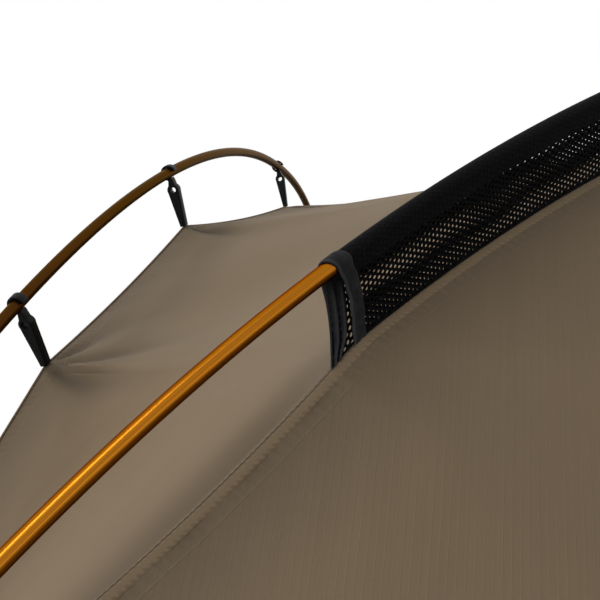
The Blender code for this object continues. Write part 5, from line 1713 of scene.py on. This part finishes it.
def make_corner_tabs():
    """A webbing tab at each corner, with an eyelet for each pole and a loop for a stake."""
    ridge, hoop = SEAM.at(0.0), HOOP_SEAM.at(0.0)
    foot_x, ridge_y, hoop_y = RIDGE_FOOT_X, -RIDGE_FOOT_Y, -RIDGE_FOOT_Y - HOOP_FORWARD
    half, gap = TAB_HALF_WIDTH, SEAM_GAP + WEB_GAP
    outline = [
        (foot_x + half, ridge_y + half),
        (ridge[0] + gap, ridge_y + half),
        (ridge[0] + gap, ridge[1]),
        (hoop[0] + gap, hoop[1]),
        (foot_x - half, hoop_y - half),
        (foot_x - half, hoop_y - TAB_REACH),
        (foot_x + half, hoop_y - TAB_REACH),
    ]
    slant = TAB_THICKNESS / 2 * math.tan(HOOP_TILT)
    holes = (
        (ridge_y, TIP_PIN_RADIUS + FIT_GAP),
        (hoop_y + slant, TIP_PIN_RADIUS / math.cos(HOOP_TILT) + slant + FIT_GAP),
        (hoop_y - STAKE_EYE_PLACE, STAKE_EYE_RADIUS),
    )
    stitched = np.array([
        (foot_x - half + 0.003, hoop_y - 0.030),
        (foot_x + half - 0.003, hoop_y - 0.030),
        (foot_x + half - 0.003, ridge_y - 0.012),
        (foot_x - half + 0.008, ridge_y - 0.012),
    ])
    for corner, _, side, end in CORNERS:
        turn = Matrix.Diagonal((side, -end, 1, 1))
        circles = [circle((foot_x, y), radius, 28) for y, radius in holes]
        mesh = plate_mesh(corner, [outline, *circles], 0, TAB_THICKNESS, turn, 0.0006)
        mirrored = side * -end < 0
        if mirrored:
            mesh.flip_normals()
        piece(f"corner_tab_{corner}_webbing", mesh, BINDING, nodes=[f"corner_tab_{corner}"])
        rims = []
        for y, radius in holes:
            centre = (side * foot_x, -end * y)
            rim = [circle(centre, radius + EYELET_RIM, 28), circle(centre, radius + 0.0001, 28)]
            low, high = TAB_THICKNESS - 0.0003, TAB_THICKNESS + 0.0006
            rims.append(plate_mesh("rim", rim, low, high, Matrix(), 0.0003))
        piece(f"corner_eyelets_{corner}", joined(corner, rims), METAL)
        height = TAB_THICKNESS + 0.0001
        stitch_line(f"corner_stitches_{corner}", stitched * (side, -end), Matrix(), height, DARK_THREAD)


def dress_kept_nodes():
    """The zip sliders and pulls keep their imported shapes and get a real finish."""
    for label in ("upper", "lower"):
        for node, finish in ((f"zip_slider_{label}", METAL), (f"zip_pull_{label}", PLASTIC)):
            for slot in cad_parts[node].material_slots:
                slot.material = finish.material


def lamp(name, shape, size, power):
    light = bpy.data.lights.new(name, "AREA")
    light.shape = shape
    light.size = size
    light.energy = power
    return placed(name, light)


def area_lamp(name, place, aim, size, power):
    """A square lamp that lights the cloth and shows in no reflection."""
    obj = lamp(name, "SQUARE", size, power)
    obj.location = place
    obj.rotation_euler = (Vector(aim) - Vector(place)).to_track_quat("-Z", "Y").to_euler()
    obj.visible_glossy = False


def strip_lamp(name, ends, aim, width, power):
    """A long narrow lamp between two places, seen only in reflections, for a streak along a round pole."""
    start, end = Vector(ends[0]), Vector(ends[1])
    along = (end - start).normalized()
    back = (start + end) / 2 - Vector(aim)
    back = (back - back.dot(along) * along).normalized()
    obj = lamp(name, "RECTANGLE", (end - start).length, power)
    obj.data.size_y = width
    turned = Matrix((along, back.cross(along), back)).transposed().to_4x4()
    obj.matrix_world = Matrix.Translation((start + end) / 2) @ turned
    obj.visible_diffuse = False


def make_studio():
    """White surroundings for the camera and for reflections, a floor that fades into them, and lamps."""
    world = bpy.data.worlds.new("studio")
    world.use_nodes = True
    bpy.context.scene.world = world
    graph = Graph(world.node_tree)
    rays_seen = graph.add("ShaderNodeLightPath", output="Is Camera Ray")
    seen = rays_seen + rays_seen.output("Is Glossy Ray") + rays_seen.output("Is Transmission Ray")
    strength = WORLD_FILL + seen.maths("MINIMUM", seen, 1.0) * (1.0 - WORLD_FILL)
    sky = world.node_tree.nodes["Background"]
    sky.inputs["Color"].default_value = (1, 1, 1, 1)
    graph.put(sky.inputs["Strength"], strength)
    material = bpy.data.materials.new("floor")
    material.use_nodes = True
    ground = Graph(material.node_tree)
    shader = material.node_tree.nodes["Principled BSDF"]
    ground.put(shader.inputs["Base Color"], STUDIO_FLOOR_SHADE)
    ground.put(shader.inputs["Roughness"], STUDIO_FLOOR_ROUGHNESS)
    place = ground.add("ShaderNodeTexCoord", output="Object")
    distance = ground.add("ShaderNodeVectorMath", {"operation": "LENGTH"}, {0: place}, "Value")
    white = ground.add("ShaderNodeEmission", {}, {"Color": (1, 1, 1), "Strength": 1.0})
    far = distance.rise(*STUDIO_FLOOR_FADE) * ground.add("ShaderNodeLightPath", output="Is Camera Ray")
    surface = Wire(ground, shader.outputs[0])
    both = ground.add("ShaderNodeMixShader", {}, {0: far, 1: surface, 2: white})
    ground.put(material.node_tree.nodes["Material Output"].inputs["Surface"], both)
    mesh = bpy.data.meshes.new("floor")
    mesh.from_pydata([(x, y, 0) for x, y in square(STUDIO_FLOOR_HALF)], [], [(0, 1, 2, 3)])
    mesh.materials.append(material)
    placed("floor", mesh)
    area_lamp("key", KEY_PLACE, KEY_AIM, KEY_SIZE, KEY_POWER)
    area_lamp("fill", FILL_PLACE, FILL_AIM, FILL_SIZE, FILL_POWER)
    strip_lamp("streak", STREAK_ENDS, SHOULDER, STREAK_WIDTH, STREAK_POWER)
    strip_lamp("glint", GLINT_ENDS, SHOULDER, GLINT_WIDTH, GLINT_POWER)


def make_camera():
    """The photograph's own view, fitted to the poles and seams that it shows."""
    level = math.cos(CAMERA_PITCH)
    ahead = Vector((math.cos(CAMERA_YAW) * level, math.sin(CAMERA_YAW) * level, math.sin(CAMERA_PITCH)))
    flat_right = Vector((math.sin(CAMERA_YAW), -math.cos(CAMERA_YAW), 0))
    flat_up = flat_right.cross(ahead)
    right = math.cos(CAMERA_ROLL) * flat_right + math.sin(CAMERA_ROLL) * flat_up
    up = right.cross(ahead)
    camera = bpy.data.cameras.new("camera")
    camera.sensor_fit = "HORIZONTAL"
    camera.sensor_width = SENSOR
    camera.lens = CAMERA_FOCUS / IMAGE_SIDE * SENSOR
    obj = placed("camera", camera)
    turned = Matrix((right, up, -ahead)).transposed().to_4x4()
    obj.matrix_world = Matrix.Translation(Vector(CAMERA_PLACE)) @ turned
    bpy.context.scene.camera = obj


make_camera()
make_studio()
make_poles()
make_sleeves()
make_side_wall("right_wall", 1.0)
make_side_wall("left_wall", -1.0)
make_roof_panel("front_roof", np.ones(3))
make_roof_panel("rear_roof", REAR_TURN)
make_seam_strips()
make_hoop_seams()
make_front_clips()
make_clip_rows()
make_front()
make_rear()
make_groundsheet()
make_crown_patch()
make_corner_tabs()
dress_kept_nodes()
bpy.context.scene.view_settings.view_transform = "Standard"
